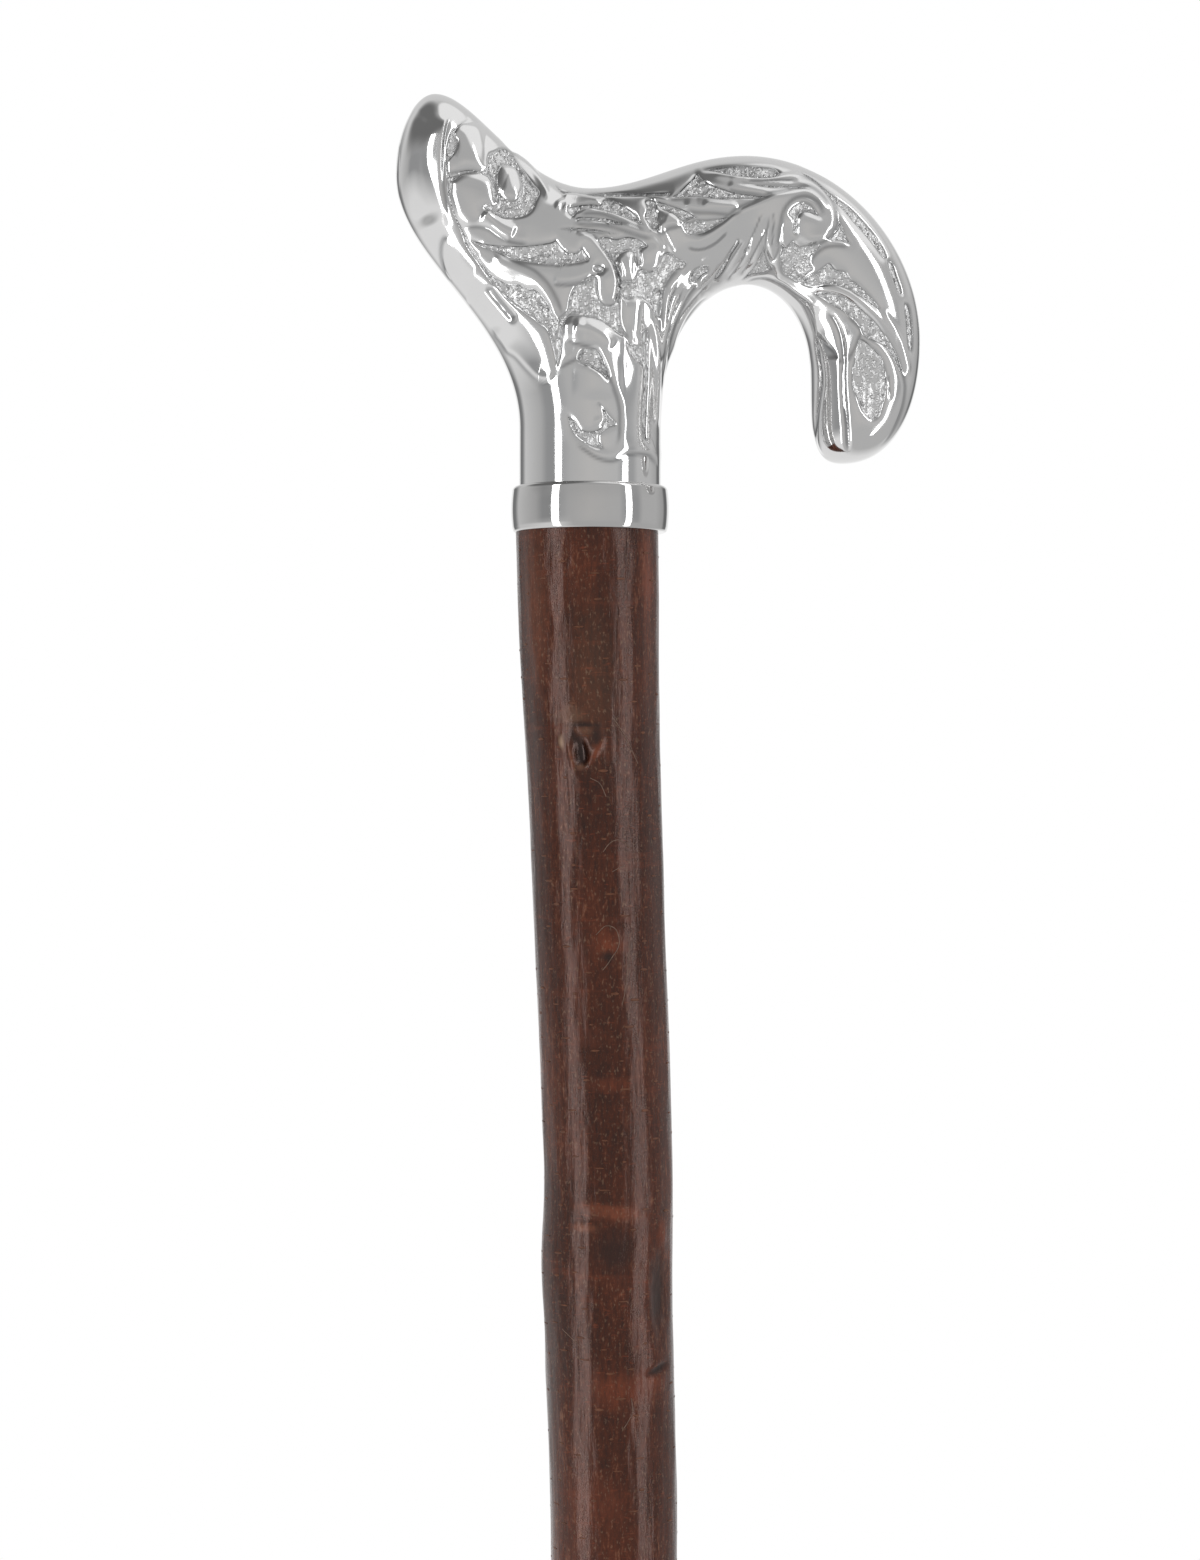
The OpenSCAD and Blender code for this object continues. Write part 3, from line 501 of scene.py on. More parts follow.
def solid(name, points, quads, triangles, materials, sharp, slots=None):
    """A closed piece from points in millimetres, turned so that its faces point outwards."""
    quads, triangles = np.array(quads, int).reshape(-1, 4), np.array(triangles, int).reshape(-1, 3)
    if signed_volume(points, quads) + signed_volume(points, triangles) < 0:
        quads, triangles = quads[:, ::-1], triangles[:, ::-1]
    mesh = bpy.data.meshes.new(name)
    mesh.from_pydata((points * MM).tolist(), [], quads.tolist() + triangles.tolist())
    for material in materials:
        mesh.materials.append(material)
    mesh.polygons.foreach_set("use_smooth", np.ones(len(mesh.polygons), bool))
    if slots is not None:
        mesh.polygons.foreach_set("material_index", np.array(slots, np.int32))
    count = len(points)
    ends = np.zeros(len(mesh.edges) * 2, np.int32)
    mesh.edges.foreach_get("vertices", ends)
    ends = np.sort(ends.reshape(-1, 2), axis=1).astype(np.int64)
    wanted = np.sort(np.array(sharp, np.int64), axis=1)
    marked = np.isin(ends[:, 0] * count + ends[:, 1], wanted[:, 0] * count + wanted[:, 1])
    edge = mesh.attributes.new("sharp_edge", "BOOLEAN", "EDGE")
    edge.data.foreach_set("value", marked)
    mesh.update()
    return placed(name, mesh)


def placed(name, data):
    """A new object in the scene for a mesh, a curve, a camera or a light."""
    obj = bpy.data.objects.new(name, data)
    bpy.context.scene.collection.objects.link(obj)
    return obj


def point_values(obj, name, values, kind="FLOAT"):
    """Stores one value or colour for each point of a piece."""
    layer = obj.data.attributes.new(name, kind, "POINT")
    field = "color" if kind == "FLOAT_COLOR" else "value"
    layer.data.foreach_set(field, np.asarray(values, np.float32).ravel())


def lathe(name, profile, material, sides):
    """A turned piece from a closed profile of radius and height in millimetres, which may touch the axis."""
    profile = np.array(profile, float)
    n = len(profile)
    turn = 2 * np.pi * np.arange(sides) / sides
    points, rings = [], []
    for r, z in profile:
        start = len(points)
        if r < 1e-6:
            points.append((0, 0, z))
            rings.append(np.full(sides, start))
        else:
            points.extend(zip(r * np.cos(turn), r * np.sin(turn), np.full(sides, z)))
            rings.append(start + np.arange(sides))
    quads, triangles, sharp = [], [], []
    for i in range(n):
        a, b = rings[i], rings[(i + 1) % n]
        a2, b2 = np.roll(a, -1), np.roll(b, -1)
        if a[0] == a[1] and b[0] == b[1]:
            continue
        if a[0] == a[1]:
            triangles.extend(zip(a, b, b2))
        elif b[0] == b[1]:
            triangles.extend(zip(a, b, a2))
        else:
            quads.extend(zip(a, b, b2, a2))
        before, after = profile[i] - profile[i - 1], profile[(i + 1) % n] - profile[i]
        bend = abs(math.atan2(before[0] * after[1] - before[1] * after[0], before @ after))
        if math.degrees(bend) > SHARP_BEND and a[0] != a[1]:
            sharp.extend(zip(a, a2))
    return solid(name, np.array(points, float), quads, triangles, [material], sharp)


def plain_mesh(obj, name):
    """The shape that the modifiers of obj give, as a piece of its own. The source object is removed."""
    graph = bpy.context.evaluated_depsgraph_get()
    shaped = obj.evaluated_get(graph)
    mesh = bpy.data.meshes.new_from_object(shaped, preserve_all_data_layers=True, depsgraph=graph)
    mesh.name = name
    if not mesh.polygons:
        raise RuntimeError(f"{name} came out empty")
    bpy.data.objects.remove(obj)
    return placed(name, mesh)


# Node trees


def feed(tree, made, inputs):
    """Sets inputs of a node to values, or links them to the outputs of other nodes."""
    for key, value in inputs.items():
        if isinstance(value, bpy.types.NodeSocket):
            tree.links.new(value, made.inputs[key])
        else:
            made.inputs[key].default_value = value


def node(tree, kind, inputs=None, **settings):
    made = tree.nodes.new(kind)
    for key, value in settings.items():
        setattr(made, key, value)
    feed(tree, made, inputs or {})
    return made


def calc(tree, operation, a, b=0.0, clamp=False):
    return node(tree, "ShaderNodeMath", {0: a, 1: b}, operation=operation, use_clamp=clamp).outputs[0]


def times(tree, a, b):
    return calc(tree, "MULTIPLY", a, b)


def plus(tree, a, b, clamp=False):
    return calc(tree, "ADD", a, b, clamp)


def larger(tree, a, b):
    return calc(tree, "MAXIMUM", a, b)


def mixed(tree, part, a, b):
    return node(tree, "ShaderNodeMix", {0: part, 6: a, 7: b}, data_type="RGBA").outputs[2]


def between(tree, value, low, high, to_low=0.0, to_high=1.0):
    return node(tree, "ShaderNodeMapRange", {0: value, 1: low, 2: high, 3: to_low, 4: to_high}).outputs[0]


def soft(tree, value, low, high):
    return node(tree, "ShaderNodeMapRange", {0: value, 1: low, 2: high},
                interpolation_type="SMOOTHSTEP").outputs[0]


def bell(tree, value, centre, width):
    """A bell curve, 1 at its centre."""
    off = calc(tree, "DIVIDE", calc(tree, "SUBTRACT", value, centre), width)
    return calc(tree, "EXPONENT", times(tree, times(tree, off, off), -1.0))


def facing(tree, direction, way):
    """How far a direction agrees with a fixed way, 1 where it is the same."""
    return node(tree, "ShaderNodeVectorMath", {0: direction, 1: way},
                operation="DOT_PRODUCT").outputs["Value"]


def ramp(tree, value, stops):
    made = node(tree, "ShaderNodeValToRGB", {0: value})
    line = made.color_ramp
    while len(line.elements) < len(stops):
        line.elements.new(1)
    for element, (at, tint) in zip(line.elements, stops):
        element.position = at
        element.color = tint if len(tint) == 4 else (*tint, 1)
    return made.outputs[0]


def grey(level):
    return (level, level, level, 1.0)


def shaded(tint, factor):
    """A colour made darker or lighter by a factor."""
    return [c * factor for c in tint[:3]] + [1]


def mottled(tree, tone, low, high, tint, factor):
    """A colour that goes over into its shaded self as a tone goes from low to high."""
    return mixed(tree, between(tree, tone, low, high), tint, shaded(tint, factor))


def new_finish(name):
    """A material with its tree, its Principled shader and its Object coordinates."""
    material = bpy.data.materials.new(name)
    material.use_nodes = True
    tree = material.node_tree
    shader = tree.nodes["Principled BSDF"]
    return material, tree, shader, node(tree, "ShaderNodeTexCoord").outputs["Object"]


def stretched(tree, coords, scale):
    return node(tree, "ShaderNodeMapping", {"Vector": coords, "Scale": scale}).outputs[0]


def noise(tree, coords, scale, detail=4.0, roughness=0.55, distortion=0.0):
    return node(tree, "ShaderNodeTexNoise", {"Vector": coords, "Scale": scale, "Detail": detail,
                                             "Roughness": roughness, "Distortion": distortion}).outputs[0]


def bumped(tree, shader, height, strength, distance):
    made = node(tree, "ShaderNodeBump", {"Height": height, "Strength": strength, "Distance": distance})
    tree.links.new(made.outputs[0], shader.inputs["Normal"])


def attribute(tree, name):
    return node(tree, "ShaderNodeAttribute", attribute_name=name)


def wiped(tree, coords, stretch_by, detail, polish):
    """Roughness of polished metal, with faint marks of wiping."""
    marks = noise(tree, stretched(tree, coords, stretch_by), 160, detail)
    return between(tree, marks, 0.35, 0.7, polish * 0.7, polish * 1.3)


def grow_tree(name, inputs):
    """A geometry tree with named inputs: name, socket type and default."""
    tree = bpy.data.node_groups.new(name, "GeometryNodeTree")
    tree.interface.new_socket("Geometry", in_out="INPUT", socket_type="NodeSocketGeometry")
    for label, kind, default in inputs:
        socket = tree.interface.new_socket(label, in_out="INPUT", socket_type=kind)
        if default is not None:
            socket.default_value = default
    tree.interface.new_socket("Geometry", in_out="OUTPUT", socket_type="NodeSocketGeometry")
    return tree, node(tree, "NodeGroupInput").outputs, node(tree, "NodeGroupOutput").inputs


def strewn(tree, given, value, least, density):
    """Points strewn over the faces of a mesh where a value that it carries is above the least."""
    carried = node(tree, "GeometryNodeInputNamedAttribute", {"Name": value}, data_type="FLOAT").outputs[0]
    return node(tree, "GeometryNodeDistributePointsOnFaces", {
        "Mesh": given["Geometry"], "Selection": calc(tree, "GREATER_THAN", carried, least),
        "Distance Min": given["Spacing"], "Density Max": density, "Seed": given["Seed"]},
        distribute_method="POISSON").outputs


def drawn_vector(tree, given, low, high):
    """A random vector for each point, from the tree's seed."""
    return node(tree, "FunctionNodeRandomValue", {0: low, 1: high, "Seed": given["Seed"]},
                data_type="FLOAT_VECTOR").outputs[0]


def copied(tree, points, shape, rotation, scale):
    """Copies of a shape at points."""
    return node(tree, "GeometryNodeInstanceOnPoints", {
        "Points": points, "Instance": shape, "Rotation": rotation, "Scale": scale}).outputs[0]


def turned_to(tree, inputs, **settings):
    """A rotation that turns one axis of a shape towards a vector."""
    return node(tree, "FunctionNodeAlignRotationToVector", inputs, **settings).outputs[0]


def finish_tree(tree, instances, material, out):
    """Ends a tree in realized, smooth instances with their material."""
    real = node(tree, "GeometryNodeRealizeInstances", {0: instances}).outputs[0]
    smooth = node(tree, "GeometryNodeSetShadeSmooth", {0: real}).outputs[0]
    done = node(tree, "GeometryNodeSetMaterial", {"Geometry": smooth, "Material": material}).outputs[0]
    tree.links.new(done, out[0])


def grown(obj, name, tree, values):
    """Runs a tree on obj with these inputs and returns the plain piece."""
    modifier = obj.modifiers.new(name, "NODES")
    modifier.node_group = tree
    for item in tree.interface.items_tree:
        if item.in_out == "INPUT" and item.name in values:
            modifier[item.identifier] = values[item.name]
    return plain_mesh(obj, name)


def carry(piece, body, slot, *nodes):
    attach(piece, body)
    if nodes:
        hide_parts(*nodes)


# Sizes and colours


def size(name, description, default):
    return FloatProperty(name=name, description=description, default=default, min=0.0, precision=5,
                         subtype="DISTANCE", unit="LENGTH")


def share(name, description, default):
    return FloatProperty(name=name, description=description, default=default, min=0.0, max=1.0,
                         subtype="FACTOR")


def colour(name, description, default):
    return FloatVectorProperty(name=name, description=description, default=(*default, 1.0), size=4,
                               min=0.0, max=1.0, subtype="COLOR")


class HandleSettings(PropertyGroup):
    neck_d: size("Neck", "Diameter of the round neck", 0.027)
    neck_base_h: size("Neck base", "Height of the neck's plain base", 0.011)
    arch_h: size("Arch", "Height of the finger arch above the collar", 0.0384)
    saddle_h: size("Saddle", "Height of the saddle above the collar", 0.0566)
    crown_h: size("Crown", "Height of the crown above the collar", 0.0627)
    beak_h: size("Beak", "Height of the beak's crest above the collar", 0.0745)
    beak_reach: size("Beak reach", "How far the beak stands out from the neck's axis", 0.0369)
    finger_gap: size("Finger gap", "Clear space between neck and nose", 0.0282)
    nose_w: size("Nose width", "Width of the nose from the side", 0.021)
    nose_end_h: size("Nose end", "Height of the nose's lower end above the collar", 0.0044)
    beak_t: size("Beak thickness", "Thickness of the beak from side to side", 0.021)
    grip_t: size("Grip thickness", "Thickness of the grip over the arch", 0.024)
    nose_t: size("Nose thickness", "Thickness of the nose", 0.019)
    wall: size("Wall", "Wall of the pressed halves, ground included", 0.00115)
    ground_depth: size("Ground depth", "How deep the matted ground lies", 0.00078)
    ground_wall: size("Ground wall", "Width of the slope down to the ground", 0.00055)
    pillow: size("Pillow", "How far the leaves round off towards the ground", 0.00018)
    pillow_width: size("Pillow width", "How far in from the ground the leaves round off", 0.0017)
    leaf_lift: share("Leaf lift", "Share of their drawn height that the leaf edges stand up", 0.78)
    grain_spacing: size("Grain spacing", "Least distance of two punched grains", 0.0009)
    grain_radius: size("Grain radius", "Radius of the punched grains", 0.0005)
    grain_seed: IntProperty(name="Grain seed", description="Seed of the grains' places", default=11)
    metal: colour("Plating", "Colour of the bright plating", (0.76, 0.757, 0.755))
    matted: colour("Ground", "Colour of the matted ground", (0.7, 0.7, 0.7))
    # Painted shade: this darker plating colour is laid into the veins, at the foot of leaf edges and along
    # the pockets' rims
    crease_shade: colour("Crease shade", "Colour of the plating in veins and at the foot of edges", (0.33, 0.332, 0.335))
    polish: share("Polish roughness", "Roughness of the polished leaves", 0.07)


class CollarSettings(PropertyGroup):
    bulge: size("Bulge", "Swelling of the side between the edges", 0.00035)
    edge: size("Edge", "Radius of the upper edge", 0.0009)
    lower_edge: size("Lower edge", "Radius of the lower edge", 0.0005)
    bore_d: size("Bore", "Diameter of the bore for the tenon", 0.0203)
    stud_hole_d: size("Stud hole", "Diameter of the hole in the web", 0.0083)
    web: size("Web", "Thickness of the web over the tenon", 0.0017)
    metal: colour("Metal", "Colour of the plating", (0.66, 0.655, 0.65))
    polish: share("Polish", "Roughness of the polished side", 0.06)


class ShaftSettings(PropertyGroup):
    top_d: size("Top", "Diameter right under the collar", 0.0268)
    body_d: size("Body", "Diameter of the body, extended to the collar", 0.0251)
    foot_d: size("Foot", "Diameter at the foot", 0.021)
    swell_len: size("Swelling", "Length over which the swelling under the collar dies away", 0.030)
    tenon_d: size("Tenon", "Diameter of the tenon in the collar", 0.020)
    hole_d: size("Stud hole", "Diameter of the hole for the stud", 0.0083)
    spigot_d: size("Spigot", "Diameter of the turned spigot", 0.019)
    spigot_len: size("Spigot length", "Length of the turned spigot", 0.0298)
    oval: share("Out of round", "How far the shaft is out of round", 0.012)
    waviness: size("Waviness", "Height of the bark's slow waves", 0.00018)
    fibre: size("Fibre", "Height of the bark's fine fibres", 0.00006)
    bark_dark: colour("Bark, dark", "Dark fibres of the bark", (0.011, 0.0024, 0.001))
    bark_mid: colour("Bark", "Body colour of the bark", (0.036, 0.0068, 0.0014))
    bark_light: colour("Bark, light", "Light fibres of the bark", (0.16, 0.07, 0.038))
    bark_red: colour("Bark, red", "Red flushes of the bark", (0.15, 0.033, 0.012))
    bark_pale: colour("Bark, pale", "Specks and pale marks of the bark", (0.3, 0.2, 0.13))
    scratch: colour("Scratches", "Colour of the scratched varnish", (0.17, 0.11, 0.08))
    lenticel: colour("Lenticels", "Colour of the breathing pores", (0.13, 0.046, 0.02))
    lenticel_seed: IntProperty(name="Lenticel seed", description="Seed of the pores' places", default=5)
    varnish: share("Varnish", "Strength of the varnish's gloss", 0.55)
    varnish_tint: colour("Varnish tint", "Colour of the varnish's gloss", (1.0, 0.74, 0.68))


class FerruleSettings(PropertyGroup):
    foot_d: size("Foot", "Diameter of the foot", 0.038)
    rim_h: size("Rim", "Height of the upright rim", 0.006)
    socket_d: size("Socket", "Diameter of the socket", 0.0191)
    wall: size("Wall", "Wall of the sleeve", 0.0036)
    sole_t: size("Sole", "Thickness of rubber under the socket", 0.009)
    rubber: colour("Rubber", "Colour of the rubber", (0.024, 0.024, 0.025))


class StageSettings(PropertyGroup):
    lens: FloatProperty(name="Lens", description="Focal length of the camera", default=80.9, min=1.0,
                        unit="CAMERA")
    floor: colour("Floor", "Colour of the pale floor", (0.86, 0.86, 0.86))
    strip_radiance: FloatProperty(
        name="Strip lights", description="Brightness of the two strip lights, 1 is white",
        default=4.4, min=0.0)


# The pressed handle


RIGHT, LEFT = np.array([1.0, 0]), np.array([-1.0, 0])
UP, DOWN = np.array([0, 1.0]), np.array([0, -1.0])
BLEND = 5                # how closely grip and neck keep to the larger of the two where they meet
TIP_CHORD = 22           # millimetres across, below which the form thins towards its tips
CREST_IN = 7.4           # millimetres from the beak's front to its crest
FRONT_DROP = 15.5        # millimetres from the crest down to the beak's front
ARCH_AT = 0.585          # the arch's top, as a share of the finger gap
CROWN_IN = 0.5           # millimetres from the arch's top back to the crown
NOSE_FRONT_AT, NOSE_BACK_AT, NOSE_END_AT = 0.4, 0.52, 0.3  # shares of the nose's heights and width
BEAK_END = 0.3           # share of the first top curve over which the beak keeps its thickness
GRIP_FLOOR = 4           # millimetres that the grip's section reaches below the arch
NECK_FADE = 2            # millimetres below the arch where the neck starts to die away
NECK_TOP = 0.95          # share of the arch's height up to which the neck's side follows it
LEAST_RISE = 0.2         # least steepness of the neck's sides across which an inset is measured
CURVE_STEPS, SECTION_STEPS = 600, 420
ACROSS, HIDDEN_ACROSS = 140, 14  # faces from the top edge to the lower edge, outside and inside

REACH_MM = 3.0           # millimetres round the box of a drawn line in which it acts
TAPER = 0.12             # share of a line over which its work dies away at each end
LEAF_SPREAD, LEAF_SINK, SINK_SPREAD = 3.2, 0.35, 1.2  # a leaf's lift inwards, and the sinking beside it
FOOT_WIDTH, VEIN_FLANK = 0.38, 0.4
VEIN_EDGE = (-0.25, 0.05)  # millimetres inside a vein's flat bottom where its shade starts and is full
LUMP_EDGE = (0.2, 0.6)   # millimetres inside a pocket where its lumps start and are full
POCKET_RIM = 3.0         # the pocket value on a pocket's rim; it is 0 where no pocket is near
GROUND_LUMPS = ((0.36, 1.3, 21), (0.2, 0.75, 22))  # height, cell and seed
LEAST_WALL = 0.05        # millimetres of metal that stay under the deepest lumps


def stretch(p, a, pull_a, q, b, pull_b):
    """A curve from p to q that leaves along a and arrives along b, with its pulls as shares of the way."""
    return np.array([p, p + a * pull_a * abs((q - p) @ a), q - b * pull_b * abs((q - p) @ b), q])


class Pressing:
    """The plain form of one half of the handle, in millimetres from the middle of the neck's foot."""

    def __init__(self, s):
        self.neck_r, self.base_h, self.arch_h = in_mm(s.neck_d) / 2, in_mm(s.neck_base_h), in_mm(s.arch_h)
        self.saddle_h = in_mm(s.saddle_h)
        self.beak_t, self.grip_t, self.nose_t = in_mm(s.beak_t), in_mm(s.grip_t), in_mm(s.nose_t)
        gap, nose_w, end_h = in_mm(s.finger_gap), in_mm(s.nose_w), in_mm(s.nose_end_h)
        crown_h, beak_h, reach = in_mm(s.crown_h), in_mm(s.beak_h), in_mm(s.beak_reach)
        nose_in = self.neck_r + gap
        crest = np.array([-reach + CREST_IN, beak_h])
        front = np.array([-reach, beak_h - FRONT_DROP])
        arch_top = np.array([self.neck_r + ARCH_AT * gap, self.arch_h])
        saddle = np.array([0, self.saddle_h])
        crown = np.array([arch_top[0] - CROWN_IN, crown_h])
        nose_front = np.array([nose_in + nose_w, end_h + NOSE_FRONT_AT * (crown_h - end_h)])
        nose_back = np.array([nose_in, end_h + NOSE_BACK_AT * (self.arch_h - end_h)])
        nose_end = np.array([nose_in + NOSE_END_AT * nose_w, end_h])
        left, right = np.array([-self.neck_r, self.base_h]), np.array([self.neck_r, self.base_h])
        foot_left, foot_right = np.array([-self.neck_r, 0]), np.array([self.neck_r, 0])
        self.tips = crest, nose_end
        self.front_z = front[1]
        self.top_edge = [stretch(crest, RIGHT, 0.27, saddle, RIGHT, 0.44),
                         stretch(saddle, RIGHT, 0.37, crown, RIGHT, 0.41),
                         stretch(crown, RIGHT, 0.54, nose_front, DOWN, 0.52),
                         stretch(nose_front, DOWN, 0.59, nose_end, LEFT, 0.65)]
        self.beak_under = stretch(front, DOWN, 0.33, left, DOWN, 0.43)
        self.arch = stretch(right, UP, 0.6, arch_top, RIGHT, 0.55)
        # Stretches of the lower edge, the range of the top edge over each, and the rows laid there
        self.panels = [(stretch(crest, LEFT, 0.47, front, DOWN, 0.58), 0, 0.28, 72),
                       (self.beak_under, 0.28, 0.86, 132),
                       (stretch(left, DOWN, 1 / 3, foot_left, DOWN, 1 / 3), 0.86, 0.95, 28),
                       (None, 0.95, 1.06, 108),
                       (stretch(foot_right, UP, 1 / 3, right, UP, 1 / 3), 1.06, 1.13, 26),
                       (self.arch, 1.13, 2, 98),
                       (stretch(arch_top, RIGHT, 0.55, nose_back, DOWN, 0.55), 2, 3, 94),
                       (stretch(nose_back, DOWN, 0.68, nose_end, RIGHT, 1.05), 3, 4, 60)]
        self.first_nose_panel = 6

    def neck_side(self, curve, z, inset):
        """Where a side of the neck lies at a height."""
        t = np.linspace(0, 1, CURVE_STEPS)
        p, along = bezier(curve, t), bezier_slope(curve, t)
        length = np.linalg.norm(along, axis=1)
        level = p[:, 0] + inset * length / np.maximum(LEAST_RISE * length, np.abs(along[:, 1]))
        order = np.argsort(p[:, 1])
        return np.interp(z, p[order, 1], level[order])

    def neck_column(self, x, z, inset):
        """Half the thickness of the round neck, which dies away inside the grip."""
        base = z <= self.base_h
        left = np.where(base, inset - self.neck_r,
                        self.neck_side(self.beak_under, np.minimum(z, self.front_z), inset))
        right = np.where(base, self.neck_r - inset,
                         self.neck_side(self.arch, np.minimum(z, NECK_TOP * self.arch_h), -inset))
        t = np.clip((z - self.arch_h + NECK_FADE) / (self.saddle_h - self.arch_h + NECK_FADE), 0, 1)
        fade = (1 + np.cos(np.pi * t)) / 2
        round_side = np.sqrt(np.maximum(0, (x - left) * (right - x)))
        return fade * (self.neck_r - inset) * 2 / (right - left) * round_side

    def half_thickness(self, t):
        if t < 2:
            return (self.beak_t + (self.grip_t - self.beak_t) * ease((t - BEAK_END) / (1 - BEAK_END))) / 2
        return (self.grip_t + (self.nose_t - self.grip_t) * ease(t - 2)) / 2

    def inset_point(self, curve, f, inset, side):
        along = bezier_slope(curve, f)
        along = along / max(1e-9, np.linalg.norm(along))
        return bezier(curve, f) + side * inset * np.array([-along[1], along[0]])

    def rows(self, inset, across):
        """The form as rows of points between its two tips, evenly spaced across."""
        dense = ease(np.linspace(0, 1, SECTION_STEPS))
        out = []
        for k, (low_edge, t0, t1, steps) in enumerate(self.panels):
            nose = k >= self.first_nose_panel
            for i in range(1 if k == 0 else 0, steps):
                f = i / steps
                t = t0 + (t1 - t0) * f
                piece = min(3, int(t))
                top = self.inset_point(self.top_edge[piece], t - piece, inset, -1)
                if low_edge is None:
                    low = np.array([-(self.neck_r - inset) * math.cos(math.pi * f), 0])
                else:
                    low = self.inset_point(low_edge, f, inset, 1)
                    low[1] = max(0, low[1])
                p = top + (low - top) * dense[:, None]
                part = dense
                if not nose:
                    floor_z = max(low[1], self.arch_h - GRIP_FLOOR)
                    part = np.minimum(1, dense * (top[1] - low[1]) / max(1e-9, top[1] - floor_z))
                tip = math.sin(math.pi / 2 * min(1, np.linalg.norm(top - low) / TIP_CHORD))
                arc = np.sqrt(np.maximum(0, part * (1 - part)))
                y = max(0, self.half_thickness(t) - inset) * tip * 2 * arc
                if not nose:
                    y = (y**BLEND + self.neck_column(p[:, 0], p[:, 1], inset)**BLEND)**(1 / BLEND)
                y[0] = 0
                if low_edge is not None or i == 0:
                    y[-1] = 0
                line = np.stack([p[:, 0], y, p[:, 1]], 1)
                run = np.concatenate([[0], np.cumsum(np.linalg.norm(np.diff(line, axis=0), axis=1))])
                at = np.linspace(0, run[-1], across + 1)
                out.append(np.stack([np.interp(at, run, line[:, c]) for c in range(3)], 1))
        return np.array(out)


def tapered(run):
    """1 along a line, and 0 at both its ends."""
    return smooth_step(0, TAPER, run) * smooth_step(0, TAPER, 1 - run)


def scrollwork(at, s):
    """Height of the scrollwork over the plain form at photo pixels, in millimetres, with how far each point
    lies inside a sunk pocket, and how much in a vein and at the foot of a leaf edge."""
    count = len(at)
    height, pocket = np.zeros(count), np.full(count, -POCKET_RIM)
    vein, foot = np.zeros(count), np.zeros(count)
    reach, wall, pillow_w = REACH_MM / PHOTO_MM, in_mm(s.ground_wall), in_mm(s.pillow_width)
    for rise, flank, line in LEAF_EDGES.values():
        near, gap, side, run = near_line(smooth_line(line), at, reach)
        gap, ends = gap * PHOTO_MM * side, tapered(run)
        over = smooth_step(-flank, flank, gap)
        lift = over * np.maximum(0, 1 - np.maximum(0, gap) / LEAF_SPREAD)**2
        lift -= LEAF_SINK * (1 - over) * np.maximum(0, 1 + gap / SINK_SPREAD)**2
        height[near] += s.leaf_lift * np.interp(run, (0, 1), np.broadcast_to(rise, 2)) * ends * lift
        # The foot value marks where the finish lays painted shade at the foot of each leaf edge
        foot[near] = np.maximum(foot[near], ends * np.exp(-((gap + flank) / FOOT_WIDTH)**2))
    for sunk, core, line in VEINS.values():
        near, gap, _, run = near_line(smooth_line(line), at, reach)
        ends = tapered(run)
        gap = gap * PHOTO_MM - core * ends
        height[near] -= sunk * ends * np.exp(-(np.maximum(0, gap) / VEIN_FLANK)**2)
        vein[near] = np.maximum(vein[near], ends * smooth_step(*VEIN_EDGE, -gap))
    for rise, half_width, line in RIBS.values():
        near, gap, _, run = near_line(smooth_line(line), at, reach)
        height[near] += rise * tapered(run) * np.exp(-(gap * PHOTO_MM / half_width)**2)
    for x, y, half_w, half_h, rise in LOBES.values():
        u, v = (at[:, 0] - x) / half_w, (at[:, 1] - y) / half_h
        height += rise * np.maximum(0, 1 - u**2) * np.maximum(0, 1 - v**4)
    for outline in GROUND.values():
        near, depth = depth_inside(outline, at, reach)
        pocket[near] = np.maximum(pocket[near], depth)
    for outline in ISLANDS.values():
        near, depth = depth_inside(outline, at, reach)
        pocket[near] = np.minimum(pocket[near], -depth)
    ground = smooth_step(0, wall, pocket)
    height -= in_mm(s.pillow) * np.maximum(0, 1 - np.maximum(0, -pocket) / pillow_w)**2
    return height * (1 - ground) - in_mm(s.ground_depth) * ground, pocket, vein, foot


def carved_form(s):
    """The pressed form with its scrollwork: its tips, the outer skin, the hidden skin and the values of each
    outer point."""
    form = Pressing(s)
    plain = form.rows(0, ACROSS)
    rows = len(plain)
    normal = np.cross(np.gradient(plain, axis=0), np.gradient(plain, axis=1))
    if normal[rows // 2, ACROSS // 2, 1] < 0:
        normal = -normal
    normal[:, 0, 1] = 0
    on_seam = plain[:, -1, 1] == 0
    normal[on_seam, -1, 1] = 0
    normal[~on_seam, -1, 2] = 0
    normal /= np.maximum(1e-12, np.linalg.norm(normal, axis=2, keepdims=True))
    height, pocket, vein, foot = scrollwork(photo_pixels(plain).reshape(-1, 2), s)
    grid = height.reshape(plain.shape[:2])
    grid[1:-1] = (grid[:-2] + 2 * grid[1:-1] + grid[2:]) / 4
    grid[:, 1:-1] = (grid[:, :-2] + 2 * grid[:, 1:-1] + grid[:, 2:]) / 4
    surface = plain.reshape(-1, 3)
    lumps = sum(rise * cell_noise(surface / cell, seed) for rise, cell, seed in GROUND_LUMPS)
    height = np.maximum(grid.ravel() + lumps * smooth_step(*LUMP_EDGE, pocket), LEAST_WALL - in_mm(s.wall))
    outer = surface + normal.reshape(-1, 3) * height[:, None]
    return form.tips, outer.reshape(plain.shape), form.rows(in_mm(s.wall), HIDDEN_ACROSS), {
        "pocket": pocket + POCKET_RIM, "vein": vein, "foot": foot}


